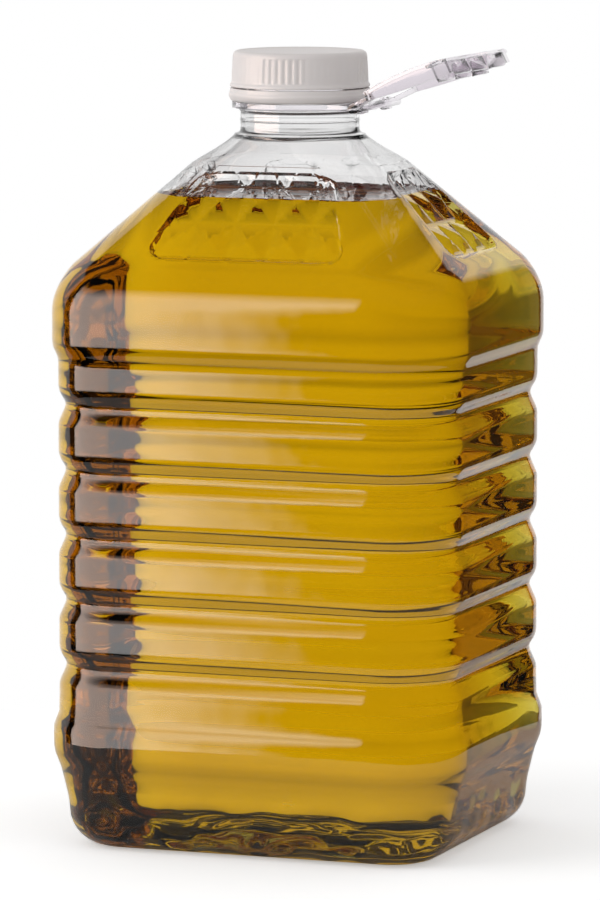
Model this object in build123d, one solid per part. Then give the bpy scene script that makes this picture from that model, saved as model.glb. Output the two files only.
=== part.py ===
from build123d import *
import math
import os

# A five litre clear plastic bottle of olive oil: a ribbed, rounded-rectangle body with a
# screw cap, a tamper band and a fold-up carry handle clipped round the neck.
# Millimetres. The origin is the middle of the base, +Z is up, the front faces -Y and the
# handle points along +X.

# Body, measured on the crests between the grooves
body_width = 162.4
body_depth = 142.0
corner_radius = 28.5
wall = 0.6
base_wall = 1.2
bulge = 2.3

# Foot of the body
heel_radius = 14.0
heel_inset = 3.8
foot_bulge_low = 37.0
foot_bulge_high = 46.9
foot_bulge_step = 4.7
standing_width = 5.0
push_up_height = 11.0
push_up_shoulder = 7.5
push_up_slope = 9.0
push_up_corner_radius = 12.0
push_up_corner_share = 0.9

# Horizontal grooves, from the middle of the lowest one
groove_count = 5
groove_low_height = 70.5
groove_pitch = 25.1
groove_depth = 2.9
groove_floor = 1.7
groove_slope_height = 6.4
groove_curve_height = 5.8

# Waist and shoulder, each height span above the one before, from the top groove up
waist_rise = 17.8
waist_step = 4.3
waist_height = 13.0
shoulder_bend_height = 18.0
shoulder_bend_share = 0.112
shoulder_flat_height = 38.0
shoulder_flat_share = 0.745
shoulder_dome_height = 10.5
shoulder_dome_height_shares = (0.42, 0.95)
shoulder_dome_rise_shares = (0.43, 0.86)

# Recessed grip panels on the shoulder, with a bed of pyramids in each
panel_foot_margin = 5.0
panel_head_margin = 3.0
panel_recess = 2.4
panel_corner_radius = 5.0
panel_relief = 2.0
pyramid_row = 17.6
front_panel_low_half = 40.0
front_panel_high_half = 28.0
front_pyramid_width = 15.6
side_panel_low_half = 28.5
side_panel_high_half = 17.0
side_pyramid_width = 13.8

# Neck finish, its heights above the foot of the neck
neck_height = 29.1
neck_radius = 22.9
neck_wall = 1.6
neck_flare = 2.4
neck_flare_height = 1.8
neck_flare_drop = 0.5
rim_chamfer = 0.5
collar_bead_rise = 10.1
collar_bead_height = 0.9
collar_bead_reach = 0.6
tamper_bead_rise = 14.7
tamper_bead_height = 1.3
tamper_bead_reach = 1.1

# Oil, its level above the foot of the shoulder's straight slope
oil_rise = 25.4
oil_clearance = 0.3

# Screw cap and liner
cap_height = 13.8
cap_roof = 1.7
cap_bore_radius = 24.5
cap_skirt_radius = 26.3
cap_draft = 0.6
cap_top_edge = 1.3
cap_bead_radius = 26.95
cap_bead_height = 1.2
cap_rib_count = 48
cap_rib_groove_radius = 0.6
cap_rib_groove_depth = 0.45
cap_rib_margin = 0.7
liner_thickness = 0.9
liner_edge_gap = 0.5
seat_gap = 0.1
rim_gap = 0.2

# Tamper band
band_gap = 0.45
band_height = 5.0
band_bulge_radius = 27.4
band_top_radius = 26.85
band_bottom_radius = 26.3
band_bore_radius = 24.7
band_hook_gap = 0.35
band_hook_height = 1.1

# Neck collar that carries the handle
collar_gap = 0.12
collar_height = 2.2
collar_radius = 26.2
collar_side_gap = 0.15
web_half_width_at_ring = 19.0
web_half_width_at_rod = 21.0
hook_length = 6.5
hook_offset = 13.5
hook_wall = 0.8
hook_mouth_angle = 110.0

# Carry handle, laid out along its own plane and then tilted up at rest
rod_reach = 30.4
rod_rise = 1.4
rod_radius = 1.55
rod_half_length = 26.5
rod_clearance = 0.06
rod_web_gap = 0.35
handle_tilt = 25.5
strap_width = 4.0
strap_thickness = 1.8
arm_start = 8.0
arm_half_width_start = 29.5
grip_half_width = 35.0
arm_thickness = 5.0
handle_wall = 1.3
grip_reach = 45.4
grip_width = 8.6
arm_top_start = 3.6
arm_top_middle = 3.95
arm_bottom_start = 0.2
arm_bottom_middle = -2.6
grip_top = 1.3
grip_bottom = -4.4
lobe_count = 3
lobe_pitch = 20.0
lobe_drop = 0.9
lobe_root = 2.2
slot_length = 9.5
slot_height = 1.4
slot_drop = 1.7
tab_length = 8.0
tab_width = 4.0
tab_inset = 1.9
tab_thickness = 1.2

# Heights above the base
groove_top_height = groove_low_height + (groove_count - 1) * groove_pitch
waist_step_low = groove_top_height + waist_rise
waist_step_high = waist_step_low + waist_step
shoulder_start = waist_step_high + waist_height
shoulder_bend_high = shoulder_start + shoulder_bend_height
shoulder_flat_high = shoulder_bend_high + shoulder_flat_height
panel_low = shoulder_bend_high + panel_foot_margin
panel_high = shoulder_flat_high - panel_head_margin
oil_level = shoulder_bend_high + oil_rise
neck_base = shoulder_flat_high + shoulder_dome_height
neck_top = neck_base + neck_height
collar_bead_top = neck_base + collar_bead_rise
tamper_bead_low = neck_base + tamper_bead_rise
cap_top = neck_top + rim_gap + liner_thickness + seat_gap + cap_roof
cap_bottom = cap_top - cap_height
band_bottom = cap_bottom - band_gap - band_height
rod_height = collar_bead_top + rod_rise

# Steps on curved stretches, facets round each corner, and how far a cut runs past its part
arc_steps = 2
heel_steps = 4
bend_steps = 3
corner_facets = 5
overrun = 5.0


def ring(half_x, half_y, radius, height):
    """Points of a rectangle at a height, its corners rounded by a few straight facets."""
    points = []
    for quarter in range(4):
        side_x = 1 if quarter in (0, 3) else -1
        side_y = 1 if quarter < 2 else -1
        for step in range(corner_facets + 1):
            angle = math.radians(90 * (quarter + step / corner_facets))
            x = side_x * (half_x - radius) + radius * math.cos(angle)
            y = side_y * (half_y - radius) + radius * math.sin(angle)
            points.append((x, y, height))
    return points


def stacked(rings):
    """Solid through a stack of rings, with a plane facet between each two edges."""
    faces = [make_face(Polyline(*rings[end], close=True)) for end in (0, -1)]
    for low, high in zip(rings, rings[1:]):
        for index, corner in enumerate(low):
            after = (index + 1) % len(low)
            facet = Polyline(corner, low[after], high[after], high[index], close=True)
            faces.append(make_face(facet))
    return Solid(Shell(faces))


def body_ring(inset, height, radius=corner_radius):
    """Ring of the body, drawn in by an inset, at a height."""
    return ring(body_width / 2 - inset, body_depth / 2 - inset, radius - inset, height)


def heel_stations(skin):
    """Heights and insets up the rounded heel."""
    stations = []
    radius = heel_radius - skin
    for step in range(heel_steps + 1):
        angle = math.radians(90 * step / heel_steps)
        inset = heel_inset + heel_radius - radius * math.sin(angle)
        stations.append((heel_radius - radius * math.cos(angle), inset))
    return stations


def groove_stations(centre, skin):
    """Heights and insets up one groove: a straight slope in, a floor, and a curve out."""
    low = centre - groove_floor / 2
    high = centre + groove_floor / 2
    stations = [
        (low - groove_slope_height, skin),
        (low, groove_depth + skin),
        (high, groove_depth + skin),
    ]
    radius = (groove_depth**2 + groove_curve_height**2) / (2 * groove_depth)
    sweep = math.asin(groove_curve_height / radius)
    crest = high + groove_curve_height
    for step in range(1, arc_steps + 1):
        angle = sweep * (1 - step / arc_steps)
        inset = radius * (1 - math.cos(angle)) + skin
        stations.append((crest - radius * math.sin(angle), inset))
    return stations


def wall_stations(skin):
    """Heights and insets up the whole body, from the heel to the start of the shoulder."""
    stations = heel_stations(skin)
    stations.append((foot_bulge_low, skin - bulge))
    stations.append((foot_bulge_high, skin - bulge))
    stations.append((foot_bulge_high + foot_bulge_step, skin))
    for index in reversed(range(groove_count)):
        centre = groove_top_height - index * groove_pitch
        stations += groove_stations(centre, skin)
    stations.append((waist_step_low, skin))
    stations.append((waist_step_high, skin - bulge))
    return stations


def shoulder_ring(share, height, skin):
    """Ring on the way from the top bulge to the round neck."""
    half_x = (body_width / 2 + bulge) * (1 - share) + neck_radius * share - skin
    half_y = (body_depth / 2 + bulge) * (1 - share) + neck_radius * share - skin
    radius = (corner_radius + bulge) * (1 - share) + neck_radius * share - skin
    return ring(half_x, half_y, radius, height)


def shoulder_stations():
    """Heights and shares of the shoulder: a bend, a straight slope and a dome."""
    stations = []
    bend = shoulder_bend_high - shoulder_start
    for step in range(bend_steps + 1):
        part = step / bend_steps
        stations.append((shoulder_start + bend * part, shoulder_bend_share * part**2))
    stations.append((shoulder_flat_high, shoulder_flat_share))
    rise = neck_base - shoulder_flat_high
    left = 1 - shoulder_flat_share
    for up, along in zip(shoulder_dome_height_shares, shoulder_dome_rise_shares):
        height = shoulder_flat_high + rise * up
        stations.append((height, shoulder_flat_share + left * along))
    return stations


def push_up(skin, floor):
    """Hollow under the base that lifts its middle off the table."""
    inset = heel_inset + heel_radius + standing_width - skin
    middle = inset + push_up_slope
    low = push_up_shoulder + floor
    high = push_up_height + floor
    wide = min(body_width, body_depth) / 2 - middle
    corner = wide * push_up_corner_share
    outside = [
        body_ring(inset, floor - base_wall, inset + push_up_corner_radius),
        body_ring(inset, floor, inset + push_up_corner_radius),
        body_ring(middle, low, middle + push_up_corner_radius),
    ]
    dome = [ring(wide, wide, corner, low), ring(wide / 2, wide / 2, corner / 2, high)]
    return stacked(outside) + stacked(dome)


def shoulder_slope(half):
    """Unit steps outwards and upwards along the shoulder's straight slope."""
    run = (half + bulge - neck_radius) * (shoulder_flat_share - shoulder_bend_share)
    rise = shoulder_flat_high - shoulder_bend_high
    length = math.hypot(run, rise)
    return run / length, rise / length


def shoulder_face(half, height):
    """How far out the shoulder's straight slope lies at a height."""
    span = (height - shoulder_bend_high) / (shoulder_flat_high - shoulder_bend_high)
    share = shoulder_bend_share + (shoulder_flat_share - shoulder_bend_share) * span
    return (half + bulge) * (1 - share) + neck_radius * share


def pyramid_bed(width, length, pitch_x, pitch_y, depth):
    """A bed of four-sided pyramids: where two sets of ridges cross."""
    columns = math.ceil(width / pitch_x / 2) * 2 + 1
    rows = math.ceil(length / pitch_y) + 1
    across = ridges(columns, pitch_x, -columns * pitch_x / 2, length + overrun, depth)
    along = ridges(rows, pitch_y, -length / 2, width + overrun, depth)
    return across & Rot(0, 0, 90) * along


def ridges(count, pitch, start, length, depth):
    """Straight ridges side by side along X, running along Y, on a solid slab."""
    points = [(start, -depth), (start, 0)]
    for index in range(count):
        points.append((start + (index + 0.5) * pitch, panel_relief))
        points.append((start + (index + 1) * pitch, 0))
    points.append((start + count * pitch, -depth))
    face = make_face(Polyline(*points, close=True))
    return extrude(Plane.XZ * face, amount=length / 2, both=True)


def panel_cutter(half, low_half, high_half, pitch, skin):
    """What a grip panel takes out of the shoulder, lying on the XY plane."""
    run, rise = shoulder_slope(half)
    length = (panel_high - panel_low) / rise
    points = [
        (-low_half - skin, -length / 2 - skin),
        (low_half + skin, -length / 2 - skin),
        (high_half + skin, length / 2 + skin),
        (-high_half - skin, length / 2 + skin),
    ]
    face = make_face(Polyline(*points, close=True))
    face = fillet(face.vertices(), panel_corner_radius)
    pocket = Pos(0, 0, -panel_recess) * extrude(face, amount=panel_recess + overrun)
    if skin:
        return pocket
    bed = pyramid_bed(2 * low_half, length, pitch, pyramid_row, overrun)
    return pocket - Pos(0, 0, -panel_recess) * bed


def panel_place(half, angle, skin):
    """Where a grip panel lies: on the shoulder's slope, turned to its side."""
    run, rise = shoulder_slope(half)
    middle = (panel_low + panel_high) / 2
    tilt = math.degrees(math.atan2(rise, run))
    out = shoulder_face(half, middle)
    return Rot(0, 0, angle) * Pos(0, -out, middle) * Rot(tilt, 0, 0) * Pos(0, 0, -skin)


def panel_cutters(skin):
    """The four grip panels, sunk by a skin."""
    front = panel_cutter(
        body_depth / 2, front_panel_low_half, front_panel_high_half, front_pyramid_width, skin
    )
    side = panel_cutter(
        body_width / 2, side_panel_low_half, side_panel_high_half, side_pyramid_width, skin
    )
    cutters = []
    for angle in (0, 180):
        cutters.append(panel_place(body_depth / 2, angle, skin) * front)
        cutters.append(panel_place(body_width / 2, angle + 90, skin) * side)
    return cutters


def turned(points):
    """Solid of revolution about Z from radius and height points."""
    return revolve(Plane.XZ * make_face(Polyline(*points, close=True)), Axis.Z)


def tube(outer, inner, low, high):
    """Plain ring between two heights."""
    return turned([(inner, low), (outer, low), (outer, high), (inner, high)])


def vessel(skin, floor):
    """Solid of the body and shoulder, drawn in by a skin all round."""
    rings = [body_ring(inset, height) for height, inset in wall_stations(skin)]
    rings += [shoulder_ring(share, height, skin) for height, share in shoulder_stations()]
    rings[0] = body_ring(heel_inset + heel_radius, floor)
    body = stacked(rings) - push_up(skin, floor)
    for cutter in panel_cutters(skin):
        body -= cutter
    return body


def neck_outside():
    """Solid neck with its flared foot and its two beads."""
    root = shoulder_flat_high
    collar_bead = collar_bead_top - collar_bead_height
    tamper_bead = tamper_bead_low + tamper_bead_height
    points = [
        (0, root),
        (neck_radius, root),
        (neck_radius + neck_flare, neck_base - neck_flare_drop),
        (neck_radius, neck_base + neck_flare_height),
        (neck_radius, collar_bead - collar_bead_reach),
        (neck_radius + collar_bead_reach, collar_bead),
        (neck_radius + collar_bead_reach, collar_bead_top),
        (neck_radius, collar_bead_top),
        (neck_radius, tamper_bead_low),
        (neck_radius + tamper_bead_reach, tamper_bead_low),
        (neck_radius, tamper_bead),
        (neck_radius, neck_top - rim_chamfer),
        (neck_radius - rim_chamfer, neck_top),
        (0, neck_top),
    ]
    return turned(points)


def bottle():
    """Blown bottle: one thin shell from the base to the rim of the mouth."""
    outside = vessel(0, 0) + neck_outside()
    bore = neck_radius - neck_wall
    mouth = tube(bore, 0, shoulder_flat_high, neck_top + overrun)
    return outside - vessel(wall, base_wall) - mouth


def olive_oil():
    """The oil, as high as it stands in the shoulder."""
    skin = wall + oil_clearance
    above = Pos(0, 0, oil_level + body_width / 2) * Box(body_width, body_width, body_width)
    return vessel(skin, base_wall + oil_clearance) - above


def cap_outside():
    """Outer form of the cap: a beaded skirt with a soft top edge."""
    bead_top = cap_bottom + cap_bead_height
    top_radius = cap_skirt_radius - cap_draft
    points = [
        (0, cap_bottom),
        (cap_bead_radius, cap_bottom),
        (cap_bead_radius, bead_top),
        (cap_skirt_radius, bead_top + cap_bead_radius - cap_skirt_radius),
        (top_radius, cap_top - cap_top_edge),
        (top_radius - cap_top_edge, cap_top),
        (0, cap_top),
    ]
    return turned(points)


def screw_cap():
    """Ribbed screw cap, hollow from below."""
    ceiling = cap_top - cap_roof
    bore = Pos(0, 0, cap_bottom - overrun) * Cylinder(
        cap_bore_radius, ceiling - cap_bottom + overrun,
        align=(Align.CENTER, Align.CENTER, Align.MIN)
    )
    low = cap_bottom + cap_bead_height + cap_rib_margin
    high = cap_top - cap_top_edge - cap_rib_margin
    lean = math.degrees(math.atan2(cap_draft, cap_top - cap_bottom))
    centre = cap_skirt_radius - cap_draft / 2 + cap_rib_groove_radius - cap_rib_groove_depth
    side = cap_rib_groove_radius * math.sqrt(2)
    groove = Rot(0, 0, 45) * Box(side, side, high - low)
    groove = Pos(centre, 0, (low + high) / 2) * Rot(0, -lean, 0) * groove
    grooves = [Rot(0, 0, 360 * index / cap_rib_count) * groove for index in range(cap_rib_count)]
    return cap_outside() - bore - grooves


def cap_liner():
    """Sealing disc between the cap and the rim of the mouth."""
    top = cap_top - cap_roof - seat_gap
    disc = Cylinder(
        cap_bore_radius - liner_edge_gap, liner_thickness,
        align=(Align.CENTER, Align.CENTER, Align.MAX)
    )
    return Pos(0, 0, top) * disc


def tamper_band():
    """Tear-off band left below the cap, hooked under the neck's bead."""
    top = cap_bottom - band_gap
    hook = neck_radius + band_hook_gap
    hook_top = band_bottom + band_hook_height
    points = [
        (hook, band_bottom),
        (band_bottom_radius, band_bottom),
        (band_bulge_radius, (band_bottom + top) / 2),
        (band_top_radius, top),
        (band_bore_radius, top),
        (band_bore_radius, hook_top),
        (hook, hook_top),
    ]
    return turned(points)


def rod_axis():
    """Frame of the hinge rod, which lies along Y beside the neck."""
    return Pos(rod_reach, 0, rod_height)


def along_y(radius, length):
    """Cylinder lying along Y, centred."""
    return Rot(90, 0, 0) * Cylinder(radius, length)


def neck_collar():
    """Ring round the neck with a web out to two hooks that hold the hinge rod."""
    low = collar_bead_top + collar_gap
    high = low + collar_height
    ring = tube(collar_radius, neck_radius + collar_side_gap, low, high)
    edge = rod_reach - rod_radius - rod_web_gap
    start = math.sqrt(collar_radius**2 - web_half_width_at_ring**2)
    inner = neck_radius + collar_side_gap
    points = [
        (0, -web_half_width_at_ring), (start, -web_half_width_at_ring),
        (edge, -web_half_width_at_rod), (edge, web_half_width_at_rod),
        (start, web_half_width_at_ring), (0, web_half_width_at_ring),
    ]
    web = Pos(0, 0, low) * extrude(make_face(Polyline(*points, close=True)), amount=collar_height)
    web -= Pos(0, 0, low) * Cylinder(inner, 3 * collar_height)
    collar = ring + web
    for side in (-1, 1):
        collar += rod_axis() * Pos(0, side * hook_offset, 0) * rod_hook()
    return collar


def rod_hook():
    """Spring hook round the hinge rod, open on the side away from the neck."""
    bore = rod_radius + rod_clearance
    outer = bore + hook_wall
    body = along_y(outer, hook_length)
    root = rod_web_gap + rod_radius + hook_wall
    web_middle = collar_bead_top + collar_gap + collar_height / 2
    body += Pos(-(root + bore) / 2, 0, web_middle - rod_height) * Box(root, hook_length, collar_height)
    mouth = math.radians(hook_mouth_angle / 2)
    reach = 2 * outer
    wedge = make_face(Polyline(
        (0, 0), (reach, reach * math.tan(mouth)), (reach, -reach * math.tan(mouth)), close=True
    ))
    wedge = extrude(Plane.XZ * wedge, amount=hook_length, both=True)
    return body - along_y(bore, 2 * hook_length) - wedge


def handle_side(skin, drop):
    """Side view of the arms and grip in the handle's own plane, with a thinned top and a
    lowered underside."""
    middle = (arm_start + grip_reach) / 2
    top = ThreePointArc(
        (arm_start, arm_top_start - skin), (middle, arm_top_middle - skin),
        (grip_reach, grip_top - skin)
    )
    front = Line((grip_reach, grip_top - skin), (grip_reach, grip_bottom - drop))
    bottom = ThreePointArc(
        (grip_reach, grip_bottom - drop), (middle, arm_bottom_middle - drop),
        (arm_start, arm_bottom_start - drop)
    )
    back = Line((arm_start, arm_bottom_start - drop), (arm_start, arm_top_start - skin))
    return make_face(top + front + bottom + back)


def handle_plan(inset):
    """Plan view of the loop: two arms that spread out to the grip."""
    spread = (grip_half_width - arm_half_width_start) / (grip_reach - arm_start)
    near = arm_start + inset
    far = grip_reach - inset
    points = []
    for side in (-1, 1):
        row = [(near, arm_half_width_start - inset), (far, grip_half_width - inset)]
        points.append([(u, side * v) for u, v in row])
    outer = make_face(Polyline(*(points[0] + points[1][::-1]), close=True))
    inner_far = grip_reach - grip_width + inset
    half_near = arm_half_width_start - arm_thickness + inset
    half_far = half_near + spread * (inner_far - arm_start)
    gap = make_face(Polyline(
        (arm_start - overrun, -half_near + spread * overrun), (inner_far, -half_far),
        (inner_far, half_far), (arm_start - overrun, half_near - spread * overrun), close=True
    ))
    return outer - gap


def handle_loop():
    """Arms and grip of the handle, hollowed from below."""
    width = grip_half_width + overrun
    height = 2 * overrun
    slab = extrude(Plane.XZ * handle_side(0, 0), amount=width, both=True)
    under = extrude(Plane.XZ * handle_side(handle_wall, overrun), amount=width, both=True)
    loop = slab & extrude(handle_plan(0), amount=height, both=True)
    loop += grip_lobes()
    hollow = under & extrude(handle_plan(handle_wall), amount=height, both=True)
    return loop - hollow + grip_ribs()


def lobe_centres():
    """Places of the finger lobes along the grip."""
    first = -(lobe_count - 1) / 2 * lobe_pitch
    return [first + index * lobe_pitch for index in range(lobe_count)]


def grip_lobes():
    """Rounded finger pads that stand below the grip."""
    half = lobe_pitch / 2 - lobe_drop
    lobes = []
    for centre in lobe_centres():
        low = grip_bottom - lobe_drop
        profile = make_face(Polyline(
            (centre - half, grip_bottom + lobe_root), (centre - half, grip_bottom),
            (centre - half + lobe_drop, low), (centre + half - lobe_drop, low),
            (centre + half, grip_bottom), (centre + half, grip_bottom + lobe_root), close=True
        ))
        pad = extrude(Plane.YZ * profile, amount=grip_width)
        lobes.append(Pos(grip_reach - grip_width, 0, 0) * pad)
    return lobes


def grip_ribs():
    """Cross ribs inside the grip, between the finger lobes."""
    ribs = []
    depth = grip_top - grip_bottom - handle_wall
    for index in range(1, lobe_count):
        place = (index - lobe_count / 2) * lobe_pitch
        rib = Box(grip_width - handle_wall, handle_wall, depth)
        ribs.append(Pos(grip_reach - grip_width / 2, place, (grip_top + grip_bottom) / 2) * rib)
    return ribs


def carry_handle():
    """Handle in one piece: hinge rod, two straps, two arms and the finger grip."""
    handle = along_y(rod_radius, 2 * rod_half_length)
    for side in (-1, 1):
        middle = side * (rod_half_length - strap_width / 2)
        strap_length = arm_start + handle_wall / 2
        strap = Box(strap_length, strap_width, strap_thickness)
        handle += Pos(strap_length / 2, middle, strap_thickness / 2) * strap
        tab = Box(tab_width, tab_length + handle_wall, tab_thickness)
        reach = grip_reach - tab_inset - tab_width / 2
        end = side * (grip_half_width + (tab_length - handle_wall) / 2)
        handle += Pos(reach, end, grip_top - tab_thickness / 2) * tab
    handle += handle_loop()
    for centre in lobe_centres():
        slot = Box(3 * handle_wall, slot_length, slot_height)
        handle -= Pos(grip_reach, centre, grip_top - slot_drop - slot_height / 2) * slot
    return rod_axis() * Rot(0, -handle_tilt, 0) * handle


nodes = {
    "bottle": bottle,
    "olive_oil": olive_oil,
    "screw_cap": screw_cap,
    "cap_liner": cap_liner,
    "tamper_band": tamper_band,
    "neck_collar": neck_collar,
    "carry_handle": carry_handle,
}

os.makedirs("parts", exist_ok=True)
for name, make in nodes.items():
    export_step(make(), f"parts/{name}.step")
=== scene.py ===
"""Looks of the five litre olive oil bottle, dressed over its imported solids.

Sizes of pieces and patterns are millimetres, those of the studio are metres, and every mesh
is written in metres, in the model's own frame: the origin is the middle of the base, +Z is up,
-Y is the wide front and the handle points along +X.
"""

import logging
import math
from collections.abc import Callable, Iterator
from contextlib import contextmanager
from dataclasses import dataclass
from enum import Enum
from functools import partial

import bmesh
import bpy
import numpy as np
from bmesh.types import BMEdge, BMesh, BMFace, BMVert
from bpy.types import Material, Mesh, Modifier, NodeSocket, NodeTree, Object
from mathutils import Matrix, Vector


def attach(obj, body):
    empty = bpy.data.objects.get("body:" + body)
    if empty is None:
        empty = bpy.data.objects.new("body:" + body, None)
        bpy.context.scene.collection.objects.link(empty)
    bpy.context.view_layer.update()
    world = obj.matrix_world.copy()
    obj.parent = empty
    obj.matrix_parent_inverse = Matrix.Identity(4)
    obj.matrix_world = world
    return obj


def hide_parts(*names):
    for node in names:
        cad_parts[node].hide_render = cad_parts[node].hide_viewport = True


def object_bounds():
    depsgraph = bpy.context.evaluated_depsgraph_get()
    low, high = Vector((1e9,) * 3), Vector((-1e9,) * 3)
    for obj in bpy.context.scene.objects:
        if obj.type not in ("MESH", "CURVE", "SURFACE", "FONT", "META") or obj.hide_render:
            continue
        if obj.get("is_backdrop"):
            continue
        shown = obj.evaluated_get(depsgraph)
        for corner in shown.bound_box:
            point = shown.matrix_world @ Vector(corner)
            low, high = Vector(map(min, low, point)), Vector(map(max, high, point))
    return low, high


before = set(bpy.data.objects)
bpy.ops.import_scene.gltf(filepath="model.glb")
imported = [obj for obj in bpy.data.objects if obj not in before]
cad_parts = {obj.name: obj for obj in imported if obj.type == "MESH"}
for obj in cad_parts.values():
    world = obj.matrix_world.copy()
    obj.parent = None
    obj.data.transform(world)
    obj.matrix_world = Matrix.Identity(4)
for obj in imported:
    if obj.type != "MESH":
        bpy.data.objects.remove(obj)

MM = 0.001
WELD = 1e-6
WHITE = (1.0, 1.0, 1.0, 1.0)
MATH = "ShaderNodeMath"
RAMP = "ShaderNodeMapRange"
MIX = "ShaderNodeMix"
NOISE = "ShaderNodeTexNoise"
LOG = logging.getLogger("olive_oil_bottle")
Adder = Callable[..., NodeSocket]


# Small tools


def linear(code: str) -> tuple[float, float, float, float]:
    """Turns a hex sRGB colour into a linear one.

    Args:
        code: Six hex digits after a hash sign.

    Returns:
        Linear red, green and blue, and an alpha of one.
    """
    parts = [int(code[i : i + 2], 16) / 255 for i in (1, 3, 5)]
    lin = [c / 12.92 if c <= 0.04045 else ((c + 0.055) / 1.055) ** 2.4 for c in parts]
    return (*lin, 1.0)


def add_node(
    tree: NodeTree, kind: str, *values: object, out: int | str = 0, **settings: object
) -> NodeSocket | None:
    """Adds a node, sets its options and feeds its inputs.

    Args:
        tree: The tree that takes the node.
        kind: The node's type name.
        *values: Constants or sockets for its first inputs, in order. One dictionary in their
            place gives them by the inputs' names or numbers.
        out: The output that is wanted, by its name or number.
        **settings: Options of the node, such as its operation.

    Returns:
        The wanted output, or nothing where the node ends the tree.
    """
    node = tree.nodes.new(kind)
    for key, option in settings.items():
        setattr(node, key, option)
    fed = values[0] if values and isinstance(values[0], dict) else dict(enumerate(values))
    for key, value in fed.items():
        if isinstance(value, NodeSocket):
            tree.links.new(value, node.inputs[key])
        else:
            node.inputs[key].default_value = value
    return node.outputs[out] if len(node.outputs) else None


def window(add: Adder, value: NodeSocket, edges: tuple | list) -> NodeSocket:
    """Marks where a value lies between two soft edges.

    Args:
        add: What adds a node to the tree.
        value: The value that is read.
        edges: Where the first edge begins and ends, and where the second one does.

    Returns:
        One between the edges and zero outside them.
    """
    rise = add(RAMP, value, edges[0], edges[1])
    fall = add(RAMP, value, edges[2], edges[3], 1.0, 0.0)
    return add(MATH, rise, fall, operation="MULTIPLY")


def new_object(name: str, mesh: Mesh) -> Object:
    """Puts a mesh into the scene as an object at the origin.

    Args:
        name: What the object is called.
        mesh: Its mesh.

    Returns:
        The object.
    """
    made = bpy.data.objects.new(name, mesh)
    bpy.context.scene.collection.objects.link(made)
    return made


def make_plain(made: Object, modifier: Modifier) -> None:
    """Turns an object into what its modifier makes of it, as a plain mesh.

    Args:
        made: The object.
        modifier: Its only modifier, which is taken off.
    """
    graph = bpy.context.evaluated_depsgraph_get()
    graph.update()
    mesh = bpy.data.meshes.new_from_object(
        made.evaluated_get(graph), preserve_all_data_layers=True, depsgraph=graph
    )
    made.modifiers.remove(modifier)
    old = made.data
    made.data = mesh
    bpy.data.meshes.remove(old)


@contextmanager
def editing(mesh: Mesh) -> Iterator[BMesh]:
    """Opens a mesh to edit it, and writes it back at the end.

    Args:
        mesh: The mesh.

    Yields:
        What its points, edges and faces are edited in.
    """
    bm = bmesh.new()
    bm.from_mesh(mesh)
    yield bm
    bm.to_mesh(mesh)
    bm.free()


def join(made: Object, extra: Object) -> None:
    """Adds one piece's mesh to another's.

    Args:
        made: The piece that stays.
        extra: The piece that goes into it.
    """
    with editing(made.data) as bm:
        bm.from_mesh(extra.data)
    bpy.data.objects.remove(extra)


def grid_mesh(name: str, points: np.ndarray, ends: tuple[bool, bool]) -> Mesh:
    """Skins rows of points that run counterclockwise round Z.

    Args:
        name: The mesh's name.
        points: Rows by columns by three coordinates, in millimetres.
        ends: Whether the first and the last row close to a point. Where neither does, the
            last row joins the first one, as on a ring.

    Returns:
        A closed mesh in metres.
    """
    rows, columns = points.shape[:2]
    vertices = list(map(tuple, points.reshape(-1, 3) * MM))
    faces = []
    last = rows if not any(ends) else rows - 1
    for row in range(last):
        for column in range(columns):
            near, far = row * columns, (row + 1) % rows * columns
            after = (column + 1) % columns
            faces.append((near + column, near + after, far + after, far + column))
    for at_end, closes in enumerate(ends):
        if closes:
            row = rows - 1 if at_end else 0
            centre = len(vertices)
            vertices.append(tuple(points[row].mean(axis=0) * MM))
            for column in range(columns):
                pair = (row * columns + column, row * columns + (column + 1) % columns)
                faces.append((*(pair if at_end else pair[::-1]), centre))
    mesh = bpy.data.meshes.new(name)
    mesh.from_pydata(vertices, [], faces)
    mesh.shade_smooth()
    return mesh


def softened(points: list[tuple[float, float]], radius: float, steps: int = 3) -> np.ndarray:
    """Rounds the corners of an open profile.

    Args:
        points: Radius and height of each corner.
        radius: How far before each corner its curve begins, where both sides have the room.
        steps: Points on each curve, less one.

    Returns:
        The denser profile, with its two ends kept.
    """
    most_share = 0.45
    corners = np.array(points, dtype=float)
    out = [corners[0]]
    for before, corner, after in zip(corners, corners[1:], corners[2:]):
        back, ahead = before - corner, after - corner
        room = most_share * min(np.linalg.norm(back), np.linalg.norm(ahead))
        reach = min(radius, room)
        start = corner + back / np.linalg.norm(back) * reach
        end = corner + ahead / np.linalg.norm(ahead) * reach
        for step in range(steps + 1):
            t = step / steps
            out.append(start * (1 - t) ** 2 + corner * 2 * t * (1 - t) + end * t**2)
    out.append(corners[-1])
    return np.array(out)


def lathe(name: str, profile: np.ndarray, columns: int, closed: bool) -> Mesh:
    """Turns a profile round Z.

    Args:
        name: The mesh's name.
        profile: Radius and height of each point. An outside is listed upwards.
        columns: Points round each row.
        closed: Whether the profile is a ring's own loop. If not, both ends are on the axis.

    Returns:
        A closed mesh in metres.
    """
    turn = np.linspace(0, 2 * math.pi, columns, endpoint=False)
    rows = profile if closed else profile[1:-1]
    points = np.empty((len(rows), columns, 3))
    points[..., 0] = rows[:, :1] * np.cos(turn)
    points[..., 1] = rows[:, :1] * np.sin(turn)
    points[..., 2] = rows[:, 1:]
    mesh = grid_mesh(name, points, (not closed, not closed))
    if not closed:
        mesh.vertices[-2].co = (0, 0, profile[0][1] * MM)
        mesh.vertices[-1].co = (0, 0, profile[-1][1] * MM)
    return mesh


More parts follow.
